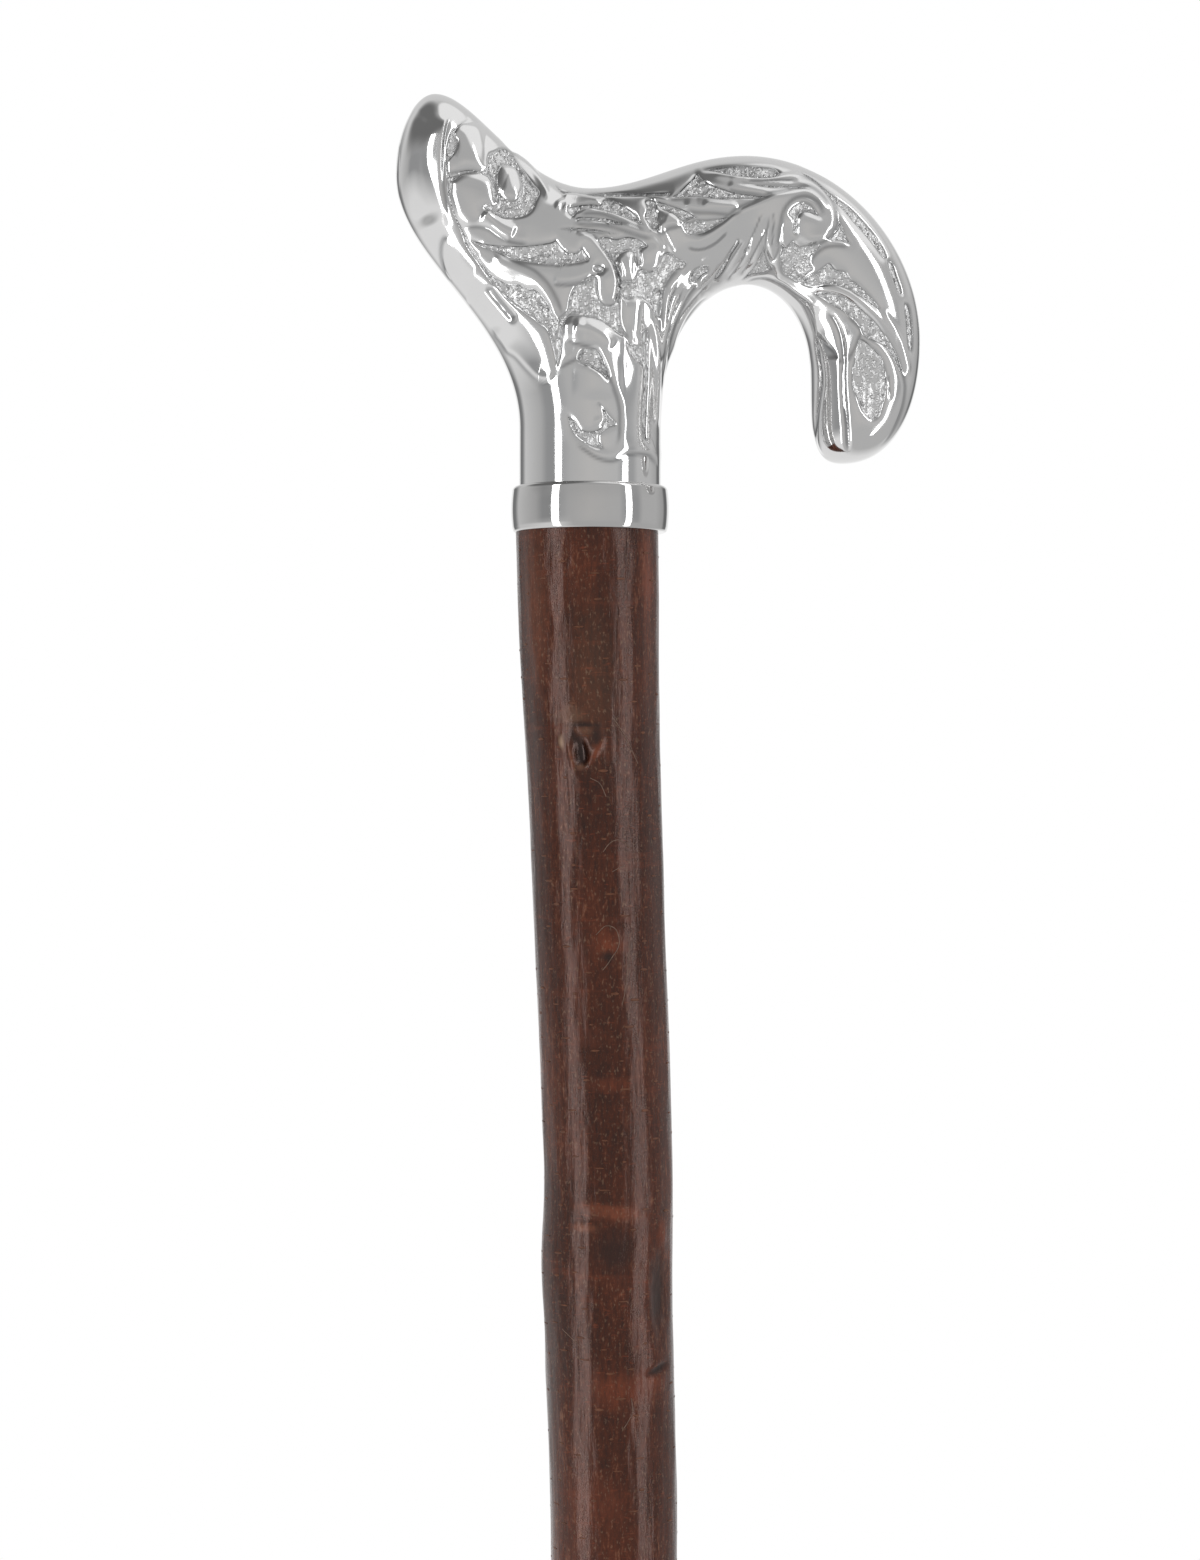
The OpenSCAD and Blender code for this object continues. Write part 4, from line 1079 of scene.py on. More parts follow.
def half_handle(s, carved, name, front, material):
    """One pressed half with its scrollwork, closed round its rim."""
    ((crest_x, crest_z), (nose_x, nose_z)), outer, hidden, values = carved
    rows, wall = len(outer), in_mm(s.wall)
    points = np.concatenate([
        [(crest_x, 0, crest_z)], outer.reshape(-1, 3), [(nose_x, 0, nose_z)],
        [(crest_x, 0, crest_z - wall)], hidden.reshape(-1, 3), [(nose_x, 0, nose_z + wall)]])
    quads, triangles, rims = [], [], []

    def skin(base, width, flip):
        index = base + 1 + np.arange(rows * width).reshape(rows, width)
        last = base + 1 + rows * width
        q = np.stack([index[:-1, :-1], index[1:, :-1], index[1:, 1:], index[:-1, 1:]], -1).reshape(-1, 4)
        t = np.concatenate([np.stack([np.full(width - 1, base), index[0, :-1], index[0, 1:]], -1),
                            np.stack([np.full(width - 1, last), index[-1, 1:], index[-1, :-1]], -1)])
        quads.append(q[:, ::-1] if flip else q)
        triangles.append(t[:, ::-1] if flip else t)
        for column in (0, -1):
            rims.append(np.concatenate([[base], index[:, column], [last]]))

    skin(0, ACROSS + 1, False)
    skin(2 + rows * (ACROSS + 1), HIDDEN_ACROSS + 1, True)
    for a, b, flip in ((rims[0], rims[2], False), (rims[1], rims[3], True)):
        strip = np.stack([a[1:-2], b[1:-2], b[2:-1], a[2:-1]], -1)
        caps = np.array([[a[0], b[0], b[1]], [a[0], b[1], a[1]],
                         [a[-1], b[-2], b[-1]], [a[-1], a[-2], b[-2]]])
        quads.append(strip[:, ::-1] if flip else strip)
        triangles.append(caps[:, ::-1] if flip else caps)
    sharp = np.concatenate([np.stack([r[:-1], r[1:]], -1) for r in rims])
    if front:
        points[:, 1] *= -1
    points[:, 2] += in_mm(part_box("collar")[1].z)
    piece = solid(name, points, np.concatenate(quads), np.concatenate(triangles), [material], sharp)
    for label, outside in values.items():
        whole = np.zeros(len(points))
        whole[1:1 + len(outside)] = outside
        point_values(piece, label, whole)
    return piece


def plated_finish(s):
    """Bright plating: mirror-like on the leaves, matted in the sunk ground, with painted shade in the veins,
    at the leaf feet and along the pockets' rims.
    """
    material, tree, shader, coords = new_finish("bright_plating")
    pocket, vein, foot = (attribute(tree, name).outputs["Fac"] for name in ("pocket", "vein", "foot"))
    ground = soft(tree, pocket, POCKET_RIM + 0.1, POCKET_RIM + 0.35)
    bright = mottled(tree, noise(tree, coords, 90, 3), 0.3, 0.7, s.metal, 0.96)
    matted = mixed(tree, ground, bright, s.matted)
    # Painted shade: darker plating along the inside of each pocket's rim, in the veins and at the leaf feet
    rim = times(tree, bell(tree, pocket, POCKET_RIM + 0.2, 0.26), 0.55)
    painted_shade = larger(tree, rim, times(tree, larger(tree, vein, foot), 0.8))
    leaf = wiped(tree, coords, (1, 1, 0.4), 5, s.polish)
    worked = between(tree, soft(tree, pocket, 0.4, 1.8), 0.0, 1.0, leaf, 0.14)
    feed(tree, shader, {"Base Color": mixed(tree, painted_shade, matted, s.crease_shade), "Metallic": 1.0,
                        "Roughness": between(tree, ground, 0.0, 1.0, worked, 0.4)})
    crumple = noise(tree, coords, 650, 2, 0.5, 0.8)
    stipple = times(tree, times(tree, crumple, ground), 0.5)
    bumped(tree, shader, plus(tree, stipple, times(tree, vein, -0.05)), 1.0, MM)
    return material


def grain_tree():
    """Punched grains that lie on the matted ground of the handle."""
    tree, given, out = grow_tree("punched_grains", [
        ("Spacing", "NodeSocketFloat", 0.0006), ("Radius", "NodeSocketFloat", 0.0004),
        ("Seed", "NodeSocketInt", 0), ("Finish", "NodeSocketMaterial", None)])
    spread = strewn(tree, given, "pocket", POCKET_RIM + 0.38, 4.0e6)
    grain = node(tree, "GeometryNodeMeshIcoSphere", {"Subdivisions": 1, "Radius": given["Radius"]}).outputs[0]
    turn = drawn_vector(tree, given, (0, 0, 0), (6.28, 6.28, 6.28))
    scale = drawn_vector(tree, given, (0.35, 0.35, 0.35), (1.3, 1.1, 0.9))
    finish_tree(tree, copied(tree, spread["Points"], grain, turn, scale), given["Finish"], out)
    return tree


def grain_finish(s):
    material, tree, shader, coords = new_finish("matted_grains")
    tone = between(tree, noise(tree, coords, 700, 2), 0.3, 0.7)
    feed(tree, shader, {"Base Color": mixed(tree, tone, s.matted, s.metal), "Metallic": 1.0,
                        "Roughness": between(tree, tone, 0, 1, 0.34, 0.48)})
    return material


class STICK_OT_press_handle(Operator):
    """Press the two halves of the handle, with their scrollwork and matted ground"""
    bl_idname = "stick.press_handle"
    bl_label = "Press handle"

    def execute(self, context):
        s = context.scene.stick_handle
        plating, grains, tree, carved = plated_finish(s), grain_finish(s), grain_tree(), carved_form(s)
        for side, shell in (("front", "handle_front_shell"), ("back", "handle_back_shell")):
            piece = half_handle(s, carved, f"handle_{side}", side == "front", plating)
            carry(piece, "stick", "handle_metal", shell)
            source = placed("ground_source", piece.data.copy())
            matting = grown(source, f"handle_{side}_matting", tree, {
                "Spacing": s.grain_spacing, "Radius": s.grain_radius, "Seed": s.grain_seed, "Finish": grains})
            carry(matting, "stick", "handle_metal")
        return {"FINISHED"}


# The collar


COLLAR_SIDES = 256
LIP_STEPS, SIDE_STEPS, EDGE_STEPS = 7, 22, 11  # points along each stretch of its outline


def collar_finish(s):
    """Turned and plated: a faint haze in the colour, wiped round the ring."""
    material, tree, shader, coords = new_finish("turned_plating")
    feed(tree, shader, {"Base Color": mottled(tree, noise(tree, coords, 90, 3), 0.3, 0.7, s.metal, 0.95),
                        "Roughness": wiped(tree, coords, (1, 1, 6), 4, s.polish), "Metallic": 1.0})
    return material


class STICK_OT_turn_collar(Operator):
    """Turn the polished collar between neck and shaft"""
    bl_idname = "stick.turn_collar"
    bl_label = "Turn collar"

    def execute(self, context):
        s = context.scene.stick_collar
        low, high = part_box("collar")
        foot, top, r = in_mm(low.z), in_mm(high.z), in_mm(high.x)
        bulge, edge, lip = in_mm(s.bulge), in_mm(s.edge), in_mm(s.lower_edge)
        bore, hole, web = in_mm(s.bore_d) / 2, in_mm(s.stud_hole_d) / 2, top - in_mm(s.web)

        def side(z):
            return r - bulge * (2 * (z - foot) / (top - foot) - 1)**2

        profile = [(bore, foot), (side(foot) - lip, foot)]
        profile += [(side(foot) - lip + lip * math.sin(a), foot + lip - lip * math.cos(a))
                    for a in np.linspace(0, QUARTER, LIP_STEPS)[1:]]
        profile += [(side(z), z) for z in np.linspace(foot + lip, top - edge, SIDE_STEPS)[1:]]
        profile += [(side(top - edge) - edge + edge * math.cos(a), top - edge + edge * math.sin(a))
                    for a in np.linspace(0, QUARTER, EDGE_STEPS)[1:]]
        profile += [(hole, top), (hole, web), (bore, web)]
        ring = lathe("collar_ring", profile, collar_finish(s), COLLAR_SIDES)
        carry(ring, "stick", "collar_metal", "collar")
        return {"FINISHED"}


# The bark shaft


BARK_TWIST = np.radians(220)  # how far the shaft's longer side turns from collar to foot
KNOT_SPREAD = 32              # degrees round the shaft over which a knot swells
BARK_WAVES = ((1.0, (7, 7, 26), 3), (0.5, (3, 3, 12), 4))  # share of the waviness, cell in millimetres, seed
FIBRE_CELL, FIBRE_SEED = (0.9, 0.9, 7), 5
RAGGED, RAGGED_CELL, RAGGED_SEED = 0.35, (1.1, 1.1, 1.6), 9
MARK_REACH = (16, 26)         # millimetres round and along the shaft, past which a mark ends
MARK_FALL = 1.5               # how steeply a mark falls off at its edge
SIGHT_START, SIGHT_ROUNDS, SIGHT_EDGE = -12.0, 4, 0.999  # search for a pixel's point: first y, rounds, limit
BARK_SIDES = 128
FRONT_PULL = 0.5              # how far the sides are drawn together at the front
SEEN_MM, SEEN_ROWS, LOWER_ROWS = 205, 430, 262  # rows are closer in the upper part
HOLE_DEPTH, CHAMFER = 52, 0.5
BARE_ROWS = 3                 # rows at each end of the bark that carry no pores
SCRATCH_RADIUS = 0.00008       # metres


def crook_slope(i):
    """Slopes of the shaft's wander at its points, from the neighbours on both sides."""
    last = len(CROOK) - 1
    rise = CROOK[np.clip(i + 1, 0, last)] - CROOK[np.clip(i - 1, 0, last)]
    return rise[:, 1:] / rise[:, :1]


class Shaft:
    """The natural shaft's form, in millimetres in the stick's frame."""

    def __init__(self, s):
        self.top, self.neck_foot = (in_mm(corner.z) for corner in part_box("collar"))
        self.length = self.top - in_mm(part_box("shaft")[0].z) - in_mm(s.spigot_len)
        self.radii = in_mm(s.body_d) / 2, in_mm(s.foot_d) / 2, (in_mm(s.top_d) - in_mm(s.body_d)) / 2
        self.swell_len, self.oval = in_mm(s.swell_len), s.oval
        self.waves = in_mm(s.waviness), in_mm(s.fibre)
        self.marks = [(*self.find(m[0], m[1]), *m[2:]) for m in BARK_MARKS.values()]

    def centre(self, f):
        at = CROOK[:, 0]
        i = np.clip(np.searchsorted(at, f, side="right") - 1, 0, len(at) - 2)
        w = at[i + 1] - at[i]
        t = ((f - at[i]) / w)[:, None]
        a, b = CROOK[i, 1:], CROOK[i + 1, 1:]
        sa, sb = crook_slope(i) * w[:, None], crook_slope(i + 1) * w[:, None]
        return a + sa * t + (3 * (b - a) - 2 * sa - sb) * t**2 + (2 * (a - b) + sa + sb) * t**3

    def radius(self, f, angle):
        body, foot, swelling = self.radii
        r = body + (foot - body) * f + swelling * np.exp(-(f * self.length / self.swell_len)**2)
        r = r + self.oval * foot * np.cos(2 * (angle - BARK_TWIST * f))
        knots = np.zeros_like(r)
        for at, direction, rise, span in KNOTS:
            turn = np.abs((np.degrees(angle) - direction + 900) % 360 - 180) / KNOT_SPREAD
            knots = np.maximum(knots, rise * np.exp(-((f - at) * self.length / span)**2 - turn**2))
        return r + knots

    def find(self, px, py):
        """Direction and height of the bark's point at a pixel of the photo."""
        reach, y = -CAMERA_MM[1], SIGHT_START
        for _ in range(SIGHT_ROUNDS):
            k = (reach - abs(y)) / reach
            x = CAMERA_MM[0] + ((px - PHOTO_ORIGIN[0]) * PHOTO_MM - CAMERA_MM[0]) * k
            z = CAMERA_MM[2] + ((PHOTO_ORIGIN[1] - py) * PHOTO_MM - CAMERA_MM[2]) * k
            z += self.neck_foot
            f = np.array([(self.top - z) / self.length])
            cx, cy = self.centre(f)[0]
            r = float(self.radius(f, np.array([math.atan2(y - cy, x - cx)]))[0])
            level = max(-SIGHT_EDGE, min(SIGHT_EDGE, (x - cx) / r))
            y = cy - r * math.sqrt(1 - level**2)
        return math.atan2(y - cy, x - cx), z

    def bark(self, f, angle):
        """Points of the bark, and how dark, red and pale they are."""
        r = self.radius(f, angle)
        z = self.top - f * self.length
        ring = np.stack([r * np.cos(angle), r * np.sin(angle), z], 1)
        wave, fibre = self.waves
        rise = sum(part * wave * cell_noise(ring / cell, seed) for part, cell, seed in BARK_WAVES)
        rise += fibre * cell_noise(ring / FIBRE_CELL, FIBRE_SEED)
        tint = np.zeros((len(r), 3))
        for direction, height, half_w, half_h, lean, dark, red, pale, lift in self.marks:
            u = r * ((angle - direction + 3 * np.pi) % (2 * np.pi) - np.pi)
            w = z - height
            near = np.flatnonzero((np.abs(u) < MARK_REACH[0]) & (np.abs(w) < MARK_REACH[1]))
            c, d = math.cos(math.radians(lean)), math.sin(math.radians(lean))
            a = (u[near] * c + w[near] * d) / (half_w * PHOTO_MM)
            b = (w[near] * c - u[near] * d) / (half_h * PHOTO_MM)
            ragged = 1 + RAGGED * cell_noise(ring[near] / RAGGED_CELL, RAGGED_SEED)
            mark = np.exp(-((a * a + b * b) * ragged)**MARK_FALL)
            tint[near] += mark[:, None] * np.array([dark, red, pale])
            rise[near] += lift * mark
        points = np.stack([(r + rise) * np.cos(angle), (r + rise) * np.sin(angle), z], 1)
        points[:, :2] += self.centre(f)
        return points, np.clip(tint, 0, 1)


def bark_finish(s):
    """Varnished bark: dark fibres along the shaft, red flushes, pale specks, and the knots and scars that the
    piece's own marks give."""
    material, tree, shader, coords = new_finish("varnished_bark")
    marks = node(tree, "ShaderNodeSeparateColor", {0: attribute(tree, "bark_marks").outputs["Color"]}).outputs
    fibre = noise(tree, stretched(tree, coords, (1, 1, 0.3)), 1500, 7, 0.72)
    coarse = noise(tree, stretched(tree, coords, (1, 1, 0.16)), 330, 4)
    blotch = noise(tree, stretched(tree, coords, (1, 1, 0.45)), 55, 4, 0.6)
    bands = noise(tree, stretched(tree, coords, (1, 1, 7)), 60, 4, 0.6)
    dashes = noise(tree, stretched(tree, coords, (1, 1, 4)), 420, 2)
    specks = noise(tree, stretched(tree, coords, (1, 1, 0.5)), 2200, 3, 0.6)
    lines = noise(tree, stretched(tree, coords, (1, 1, 0.07)), 1700, 3, 0.6)
    grain = plus(tree, times(tree, fibre, 0.55), times(tree, coarse, 0.2))
    body = ramp(tree, plus(tree, grain, times(tree, blotch, 0.25)), [
        (0.38, s.bark_dark), (0.5, s.bark_mid), (0.56, shaded(s.bark_mid, 1.5)), (0.63, s.bark_light)])
    flush = times(tree, between(tree, blotch, 0.5, 0.72), 0.4)
    for pattern, low, high, part in ((bands, 0.58, 0.75, 0.4), (dashes, 0.64, 0.74, 0.6)):
        flush = plus(tree, flush, times(tree, between(tree, pattern, low, high), part), True)
    flush = plus(tree, flush, marks[1], True)
    flush = times(tree, flush, between(tree, fibre, 0.3, 0.6, 0.4, 1.0))
    pale = plus(tree, times(tree, between(tree, specks, 0.58, 0.7), 0.28), marks[2], True)
    lighter = mixed(tree, pale, mixed(tree, flush, body, s.bark_red), s.bark_pale)
    # The marks' dark share paints the colour towards near black; in the dent, the knot's mouth and the node's
    # shade this is painted shade
    feed(tree, shader, {"Base Color": mixed(tree, marks[0], lighter, (0.005, 0.004, 0.004, 1)),
                        "Roughness": between(tree, coarse, 0.3, 0.7, 0.2, 0.14),
                        "Specular IOR Level": s.varnish, "Specular Tint": s.varnish_tint})
    rough = plus(tree, times(tree, fibre, 0.6), times(tree, lines, 0.6))
    bumped(tree, shader, plus(tree, rough, coarse), 0.29, 0.0003)
    return material


def turned_wood_finish():
    material, tree, shader, coords = new_finish("turned_wood")
    grain = noise(tree, stretched(tree, coords, (1, 1, 0.06)), 700, 5)
    wood = ramp(tree, grain, [(0.3, (0.24, 0.13, 0.06)), (0.7, (0.46, 0.29, 0.15))])
    feed(tree, shader, {"Base Color": wood, "Roughness": between(tree, grain, 0.3, 0.7, 0.75, 0.55)})
    bumped(tree, shader, grain, 0.3, 0.0002)
    return material


class STICK_OT_grow_shaft(Operator):
    """Grow the natural shaft with its bark, knots and scars, and turn its tenon and spigot"""
    bl_idname = "stick.grow_shaft"
    bl_label = "Grow shaft"

    def execute(self, context):
        s = context.scene.stick_shaft
        form = Shaft(s)
        low, high = (in_mm(corner.z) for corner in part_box("shaft"))
        seen = SEEN_MM / form.length
        shares = np.concatenate([np.linspace(0, seen, SEEN_ROWS), np.linspace(seen, 1, LOWER_ROWS)[1:]])
        turn = 2 * np.pi * np.arange(BARK_SIDES) / BARK_SIDES
        turn -= FRONT_PULL * np.cos(turn)
        circle = np.stack([np.cos(turn), np.sin(turn)], 1)

        def ring(r, z):
            return np.column_stack([circle * r, np.full(BARK_SIDES, z)])

        bark, tint = form.bark(np.repeat(shares, BARK_SIDES), np.tile(turn, len(shares)))
        hole, tenon, spigot = in_mm(s.hole_d) / 2, in_mm(s.tenon_d) / 2, in_mm(s.spigot_d) / 2
        above = [(hole, high - HOLE_DEPTH), (hole, high), (tenon, high), (tenon, form.top)]
        below = [(spigot, form.top - form.length), (spigot, low + CHAMFER), (spigot - CHAMFER, low)]
        points = np.concatenate([ring(*t) for t in above] + [bark] + [ring(*t) for t in below]
                                + [[(0, 0, above[0][1]), (0, 0, below[-1][1])]])
        first, last = len(above), len(above) + len(shares) - 1  # the rows at the bark's ends
        total = last + 1 + len(below)
        index = np.arange(total * BARK_SIDES).reshape(total, BARK_SIDES)
        ahead = np.roll(index, -1, 1)
        quads = np.stack([index[:-1], index[1:], ahead[1:], ahead[:-1]], -1).reshape(-1, 4)
        hole_end = np.full(BARK_SIDES, total * BARK_SIDES)
        foot_end = hole_end + 1
        triangles = np.concatenate([np.stack([hole_end, index[0], ahead[0]], -1),
                                    np.stack([foot_end, ahead[-1], index[-1]], -1)])
        is_bark = np.zeros(total - 1, bool)
        is_bark[first:last] = True
        slots = np.concatenate([np.repeat(~is_bark, BARK_SIDES), np.ones(2 * BARK_SIDES, bool)]).astype(int)
        edges = [0, 1, 2, 3, first, last, last + 1, total - 2, total - 1]
        sharp = np.concatenate([np.stack([index[e], ahead[e]], -1) for e in edges])
        finishes = [bark_finish(s), turned_wood_finish()]
        piece = solid("bark_shaft", points, quads, triangles, finishes, sharp, slots)
        colours = np.zeros((len(points), 4))
        colours[:, 3] = 1
        colours[first * BARK_SIDES:(last + 1) * BARK_SIDES, :3] = tint
        point_values(piece, "bark_marks", colours, "FLOAT_COLOR")
        is_live = np.zeros(len(points))
        is_live[(first + BARE_ROWS) * BARK_SIDES:(last + 1 - BARE_ROWS) * BARK_SIDES] = 1
        is_live *= 1 - np.clip(colours[:, 0] * 2, 0, 1)
        point_values(piece, "live_bark", is_live)
        carry(piece, "stick", "bark", "shaft")
        return {"FINISHED"}


def lenticel_tree():
    """Breathing pores of the bark: small lenses that lie across the shaft."""
    tree, given, out = grow_tree("lenticels", [
        ("Spacing", "NodeSocketFloat", 0.004), ("Radius", "NodeSocketFloat", 0.0009),
        ("Seed", "NodeSocketInt", 0), ("Finish", "NodeSocketMaterial", None)])
    spread = strewn(tree, given, "live_bark", 0.6, 60000.0)
    lens = node(tree, "GeometryNodeMeshUVSphere", {
        "Segments": 8, "Rings": 4, "Radius": given["Radius"]}).outputs[0]
    out_of_bark = turned_to(tree, {"Vector": spread["Normal"]}, axis="Z")
    level = turned_to(tree, {"Rotation": out_of_bark, "Vector": (0, 0, 1)}, axis="Y", pivot_axis="Z")
    scale = drawn_vector(tree, given, (0.45, 0.16, 0.05), (1.3, 0.32, 0.09))
    finish_tree(tree, copied(tree, spread["Points"], lens, level, scale), given["Finish"], out)
    return tree


def scratch_tree():
    """Fine scratches: thin wires along drawn lines."""
    tree, given, out = grow_tree("scratches", [
        ("Radius", "NodeSocketFloat", 0.0001), ("Finish", "NodeSocketMaterial", None)])
    wire = node(tree, "GeometryNodeCurvePrimitiveCircle", {
        "Resolution": 6, "Radius": given["Radius"]}).outputs[0]
    strip = node(tree, "GeometryNodeCurveToMesh", {
        "Curve": given["Geometry"], "Profile Curve": wire, "Fill Caps": True}).outputs[0]
    finish_tree(tree, strip, given["Finish"], out)
    return tree


def mark_finish(name, s, base):
    material, tree, shader, coords = new_finish(name)
    feed(tree, shader, {"Base Color": mottled(tree, noise(tree, coords, 900, 3), 0.35, 0.65, base, 0.6),
                        "Roughness": 0.5, "Specular IOR Level": s.varnish, "Specular Tint": s.varnish_tint})
    return material


class STICK_OT_mark_bark(Operator):
    """Set the bark's breathing pores and draw its scratches"""
    bl_idname = "stick.mark_bark"
    bl_label = "Mark bark"

    def execute(self, context):
        s = context.scene.stick_shaft
        source = placed("bark_source", bpy.data.objects["bark_shaft"].data.copy())
        pores = grown(source, "bark_lenticels", lenticel_tree(), {
            "Seed": s.lenticel_seed, "Finish": mark_finish("lenticel_cork", s, s.lenticel)})
        carry(pores, "stick", "bark")
        form = Shaft(s)
        lines = bpy.data.curves.new("scratch_lines", "CURVE")
        lines.dimensions = "3D"
        for drawn in SCRATCHES.values():
            found = np.array([form.find(*p) for p in smooth_line(drawn)])
            points = form.bark((form.top - found[:, 1]) / form.length, found[:, 0])[0]
            spline = lines.splines.new("POLY")
            spline.points.add(len(points) - 1)
            spline.points.foreach_set("co", np.column_stack([points * MM, np.ones(len(points))]).ravel())
        scratches = grown(placed("scratch_lines", lines), "bark_scratches", scratch_tree(), {
            "Radius": SCRATCH_RADIUS, "Finish": mark_finish("scratched_varnish", s, s.scratch)})
        carry(scratches, "stick", "bark")
        return {"FINISHED"}


# The rubber ferrule


FERRULE_EDGE, BEAD, GROOVE = 1.0, 1.2, 1.4  # rounding of the edges, height of the beads, depth of grooves
BELL_H = 10                                 # height over which the foot draws in to the sleeve
BEAD_UP, BEAD_DOWN = 3, 6                   # the lower bead above the bell, the upper one below the top
GROOVES = ((0.3, 0.42), (0.64, 0.76))       # the sides of each groove, as shares of the foot's radius
GROOVE_LIP = 0.2
TREAD_AT = 0.62                             # height of the treads, as a share of the groove's depth
BEAD_STRETCH = 1.5                          # half height of a bead over its rise
FERRULE_SIDES = 160
EDGE_ARC, BELL_ARC, BEAD_ARC = 7, 21, 17    # points of each arc of its outline
# Sizes of the ribs in millimetres, outwards, round and up, and how many stand in each ring
GRIP_RIB, TREAD_RIB = (1.1, 0.9, 6.2), (2.6, 1.3, 1.7)
GRIP_RIBS, TREAD_RIBS = 44, (14, 26)


def rubber_finish(s):
    material, tree, shader, coords = new_finish("moulded_rubber")
    mottle = noise(tree, coords, 220, 5)
    feed(tree, shader, {"Base Color": mottled(tree, mottle, 0.35, 0.7, s.rubber, 1.9),
                        "Roughness": between(tree, mottle, 0.3, 0.7, 0.55, 0.72)})
    bumped(tree, shader, noise(tree, coords, 2400, 3), 0.25, 0.0002)
    return material


def rib_tree():
    """Moulded ribs in a ring about the stick's axis."""
    tree, given, out = grow_tree("moulded_ribs", [
        ("Count", "NodeSocketInt", 40), ("Ring radius", "NodeSocketFloat", 0.013),
        ("Height", "NodeSocketFloat", 0.02), ("Rib size", "NodeSocketVector", (0.001, 0.001, 0.001)),
        ("Finish", "NodeSocketMaterial", None)])
    ring = node(tree, "GeometryNodeMeshCircle", {
        "Vertices": given["Count"], "Radius": given["Ring radius"]}).outputs[0]
    up = node(tree, "ShaderNodeCombineXYZ", {2: given["Height"]}).outputs[0]
    ring = node(tree, "GeometryNodeSetPosition", {"Geometry": ring, "Offset": up}).outputs[0]
    rib = node(tree, "GeometryNodeMeshUVSphere", {"Segments": 8, "Rings": 6, "Radius": 0.5}).outputs[0]
    place = node(tree, "GeometryNodeInputPosition").outputs[0]
    level = node(tree, "ShaderNodeVectorMath", {0: place, 1: (1, 1, 0)}, operation="MULTIPLY").outputs[0]
    outward = turned_to(tree, {"Vector": level}, axis="X", pivot_axis="Z")
    finish_tree(tree, copied(tree, ring, rib, outward, given["Rib size"]), given["Finish"], out)
    return tree


class STICK_OT_mould_ferrule(Operator):
    """Mould the push-on rubber ferrule with its beads, ribs and ringed sole"""
    bl_idname = "stick.mould_ferrule"
    bl_label = "Mould ferrule"

    def execute(self, context):
        s = context.scene.stick_ferrule
        rubber = rubber_finish(s)
        top = in_mm(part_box("ferrule")[1].z)
        bore, foot, rim, sole = in_mm(s.socket_d) / 2, in_mm(s.foot_d) / 2, in_mm(s.rim_h), in_mm(s.sole_t)
        sleeve, bell_top, edge = bore + in_mm(s.wall), rim + BELL_H, FERRULE_EDGE
        arc = np.linspace(0, QUARTER, EDGE_ARC)
        profile = [(0, 0)]
        for inner, outer in GROOVES:
            profile += [(foot * inner - GROOVE_LIP, 0), (foot * inner, GROOVE_LIP), (foot * inner, GROOVE),
                        (foot * outer, GROOVE), (foot * outer, GROOVE_LIP), (foot * outer + GROOVE_LIP, 0)]
        profile += [(foot - edge + edge * math.sin(a), edge - edge * math.cos(a)) for a in arc]
        profile += [(foot, z) for z in (rim / 2, rim)]
        profile += [(foot - (foot - sleeve) * math.sin(a), bell_top - BELL_H * math.cos(a))
                    for a in np.linspace(0, QUARTER, BELL_ARC)[1:]]
        for z in (bell_top + BEAD_UP, top - BEAD_DOWN):
            profile += [(sleeve + BEAD * math.sin(a), z + BEAD * BEAD_STRETCH * (1 - math.cos(a)))
                        for a in np.linspace(0, math.pi, BEAD_ARC)]
        profile += [(sleeve - edge + edge * math.cos(a), top - edge + edge * math.sin(a)) for a in arc]
        profile += [(bore, top), (bore, sole), (0, sole)]
        cup = lathe("ferrule_cup", profile, rubber, FERRULE_SIDES)
        carry(cup, "ferrule", "ferrule_rubber", "ferrule")
        tree = rib_tree()
        grip_z = (bell_top + BEAD_UP + 2 * BEAD_STRETCH * BEAD + top - BEAD_DOWN) / 2
        rings = {"ferrule_grip_ribs": (GRIP_RIBS, sleeve, grip_z, GRIP_RIB)}
        for name, count, groove in zip(("ferrule_tread_inner", "ferrule_tread_outer"), TREAD_RIBS, GROOVES):
            rings[name] = count, foot * sum(groove) / 2, GROOVE * TREAD_AT, TREAD_RIB
        for name, (count, radius, height, rib) in rings.items():
            source = placed(name + "_source", bpy.data.meshes.new(name + "_source"))
            ribs = grown(source, name, tree, {
                "Count": count, "Ring radius": radius * MM, "Height": height * MM,
                "Rib size": [v * MM for v in rib], "Finish": rubber})
            carry(ribs, "ferrule", "ferrule_rubber")
        return {"FINISHED"}


# Pieces that lie inside


# Name of the finish, its light and dark colour, metallic, roughness, and the scale and stretch of its grain
INNER_FINISHES = {
    "handle_filling": ("cast_resin", (0.55, 0.46, 0.33), (0.42, 0.33, 0.22), 0, 0.6, 180, (1, 1, 1)),
    "neck_plate": ("stamped_steel", (0.62, 0.62, 0.61), (0.48, 0.48, 0.48), 1, 0.34, 420, (1, 0.1, 1)),
    "threaded_bush": ("turned_brass", (0.76, 0.58, 0.28), (0.62, 0.45, 0.2), 1, 0.28, 500, (1, 1, 6)),
    "joining_stud": ("rolled_steel", (0.54, 0.54, 0.55), (0.38, 0.38, 0.39), 1, 0.36, 500, (1, 1, 6)),
    "ferrule_washer": ("zinc_plate", (0.62, 0.63, 0.64), (0.5, 0.51, 0.53), 1, 0.38, 260, (1, 1, 1)),
}


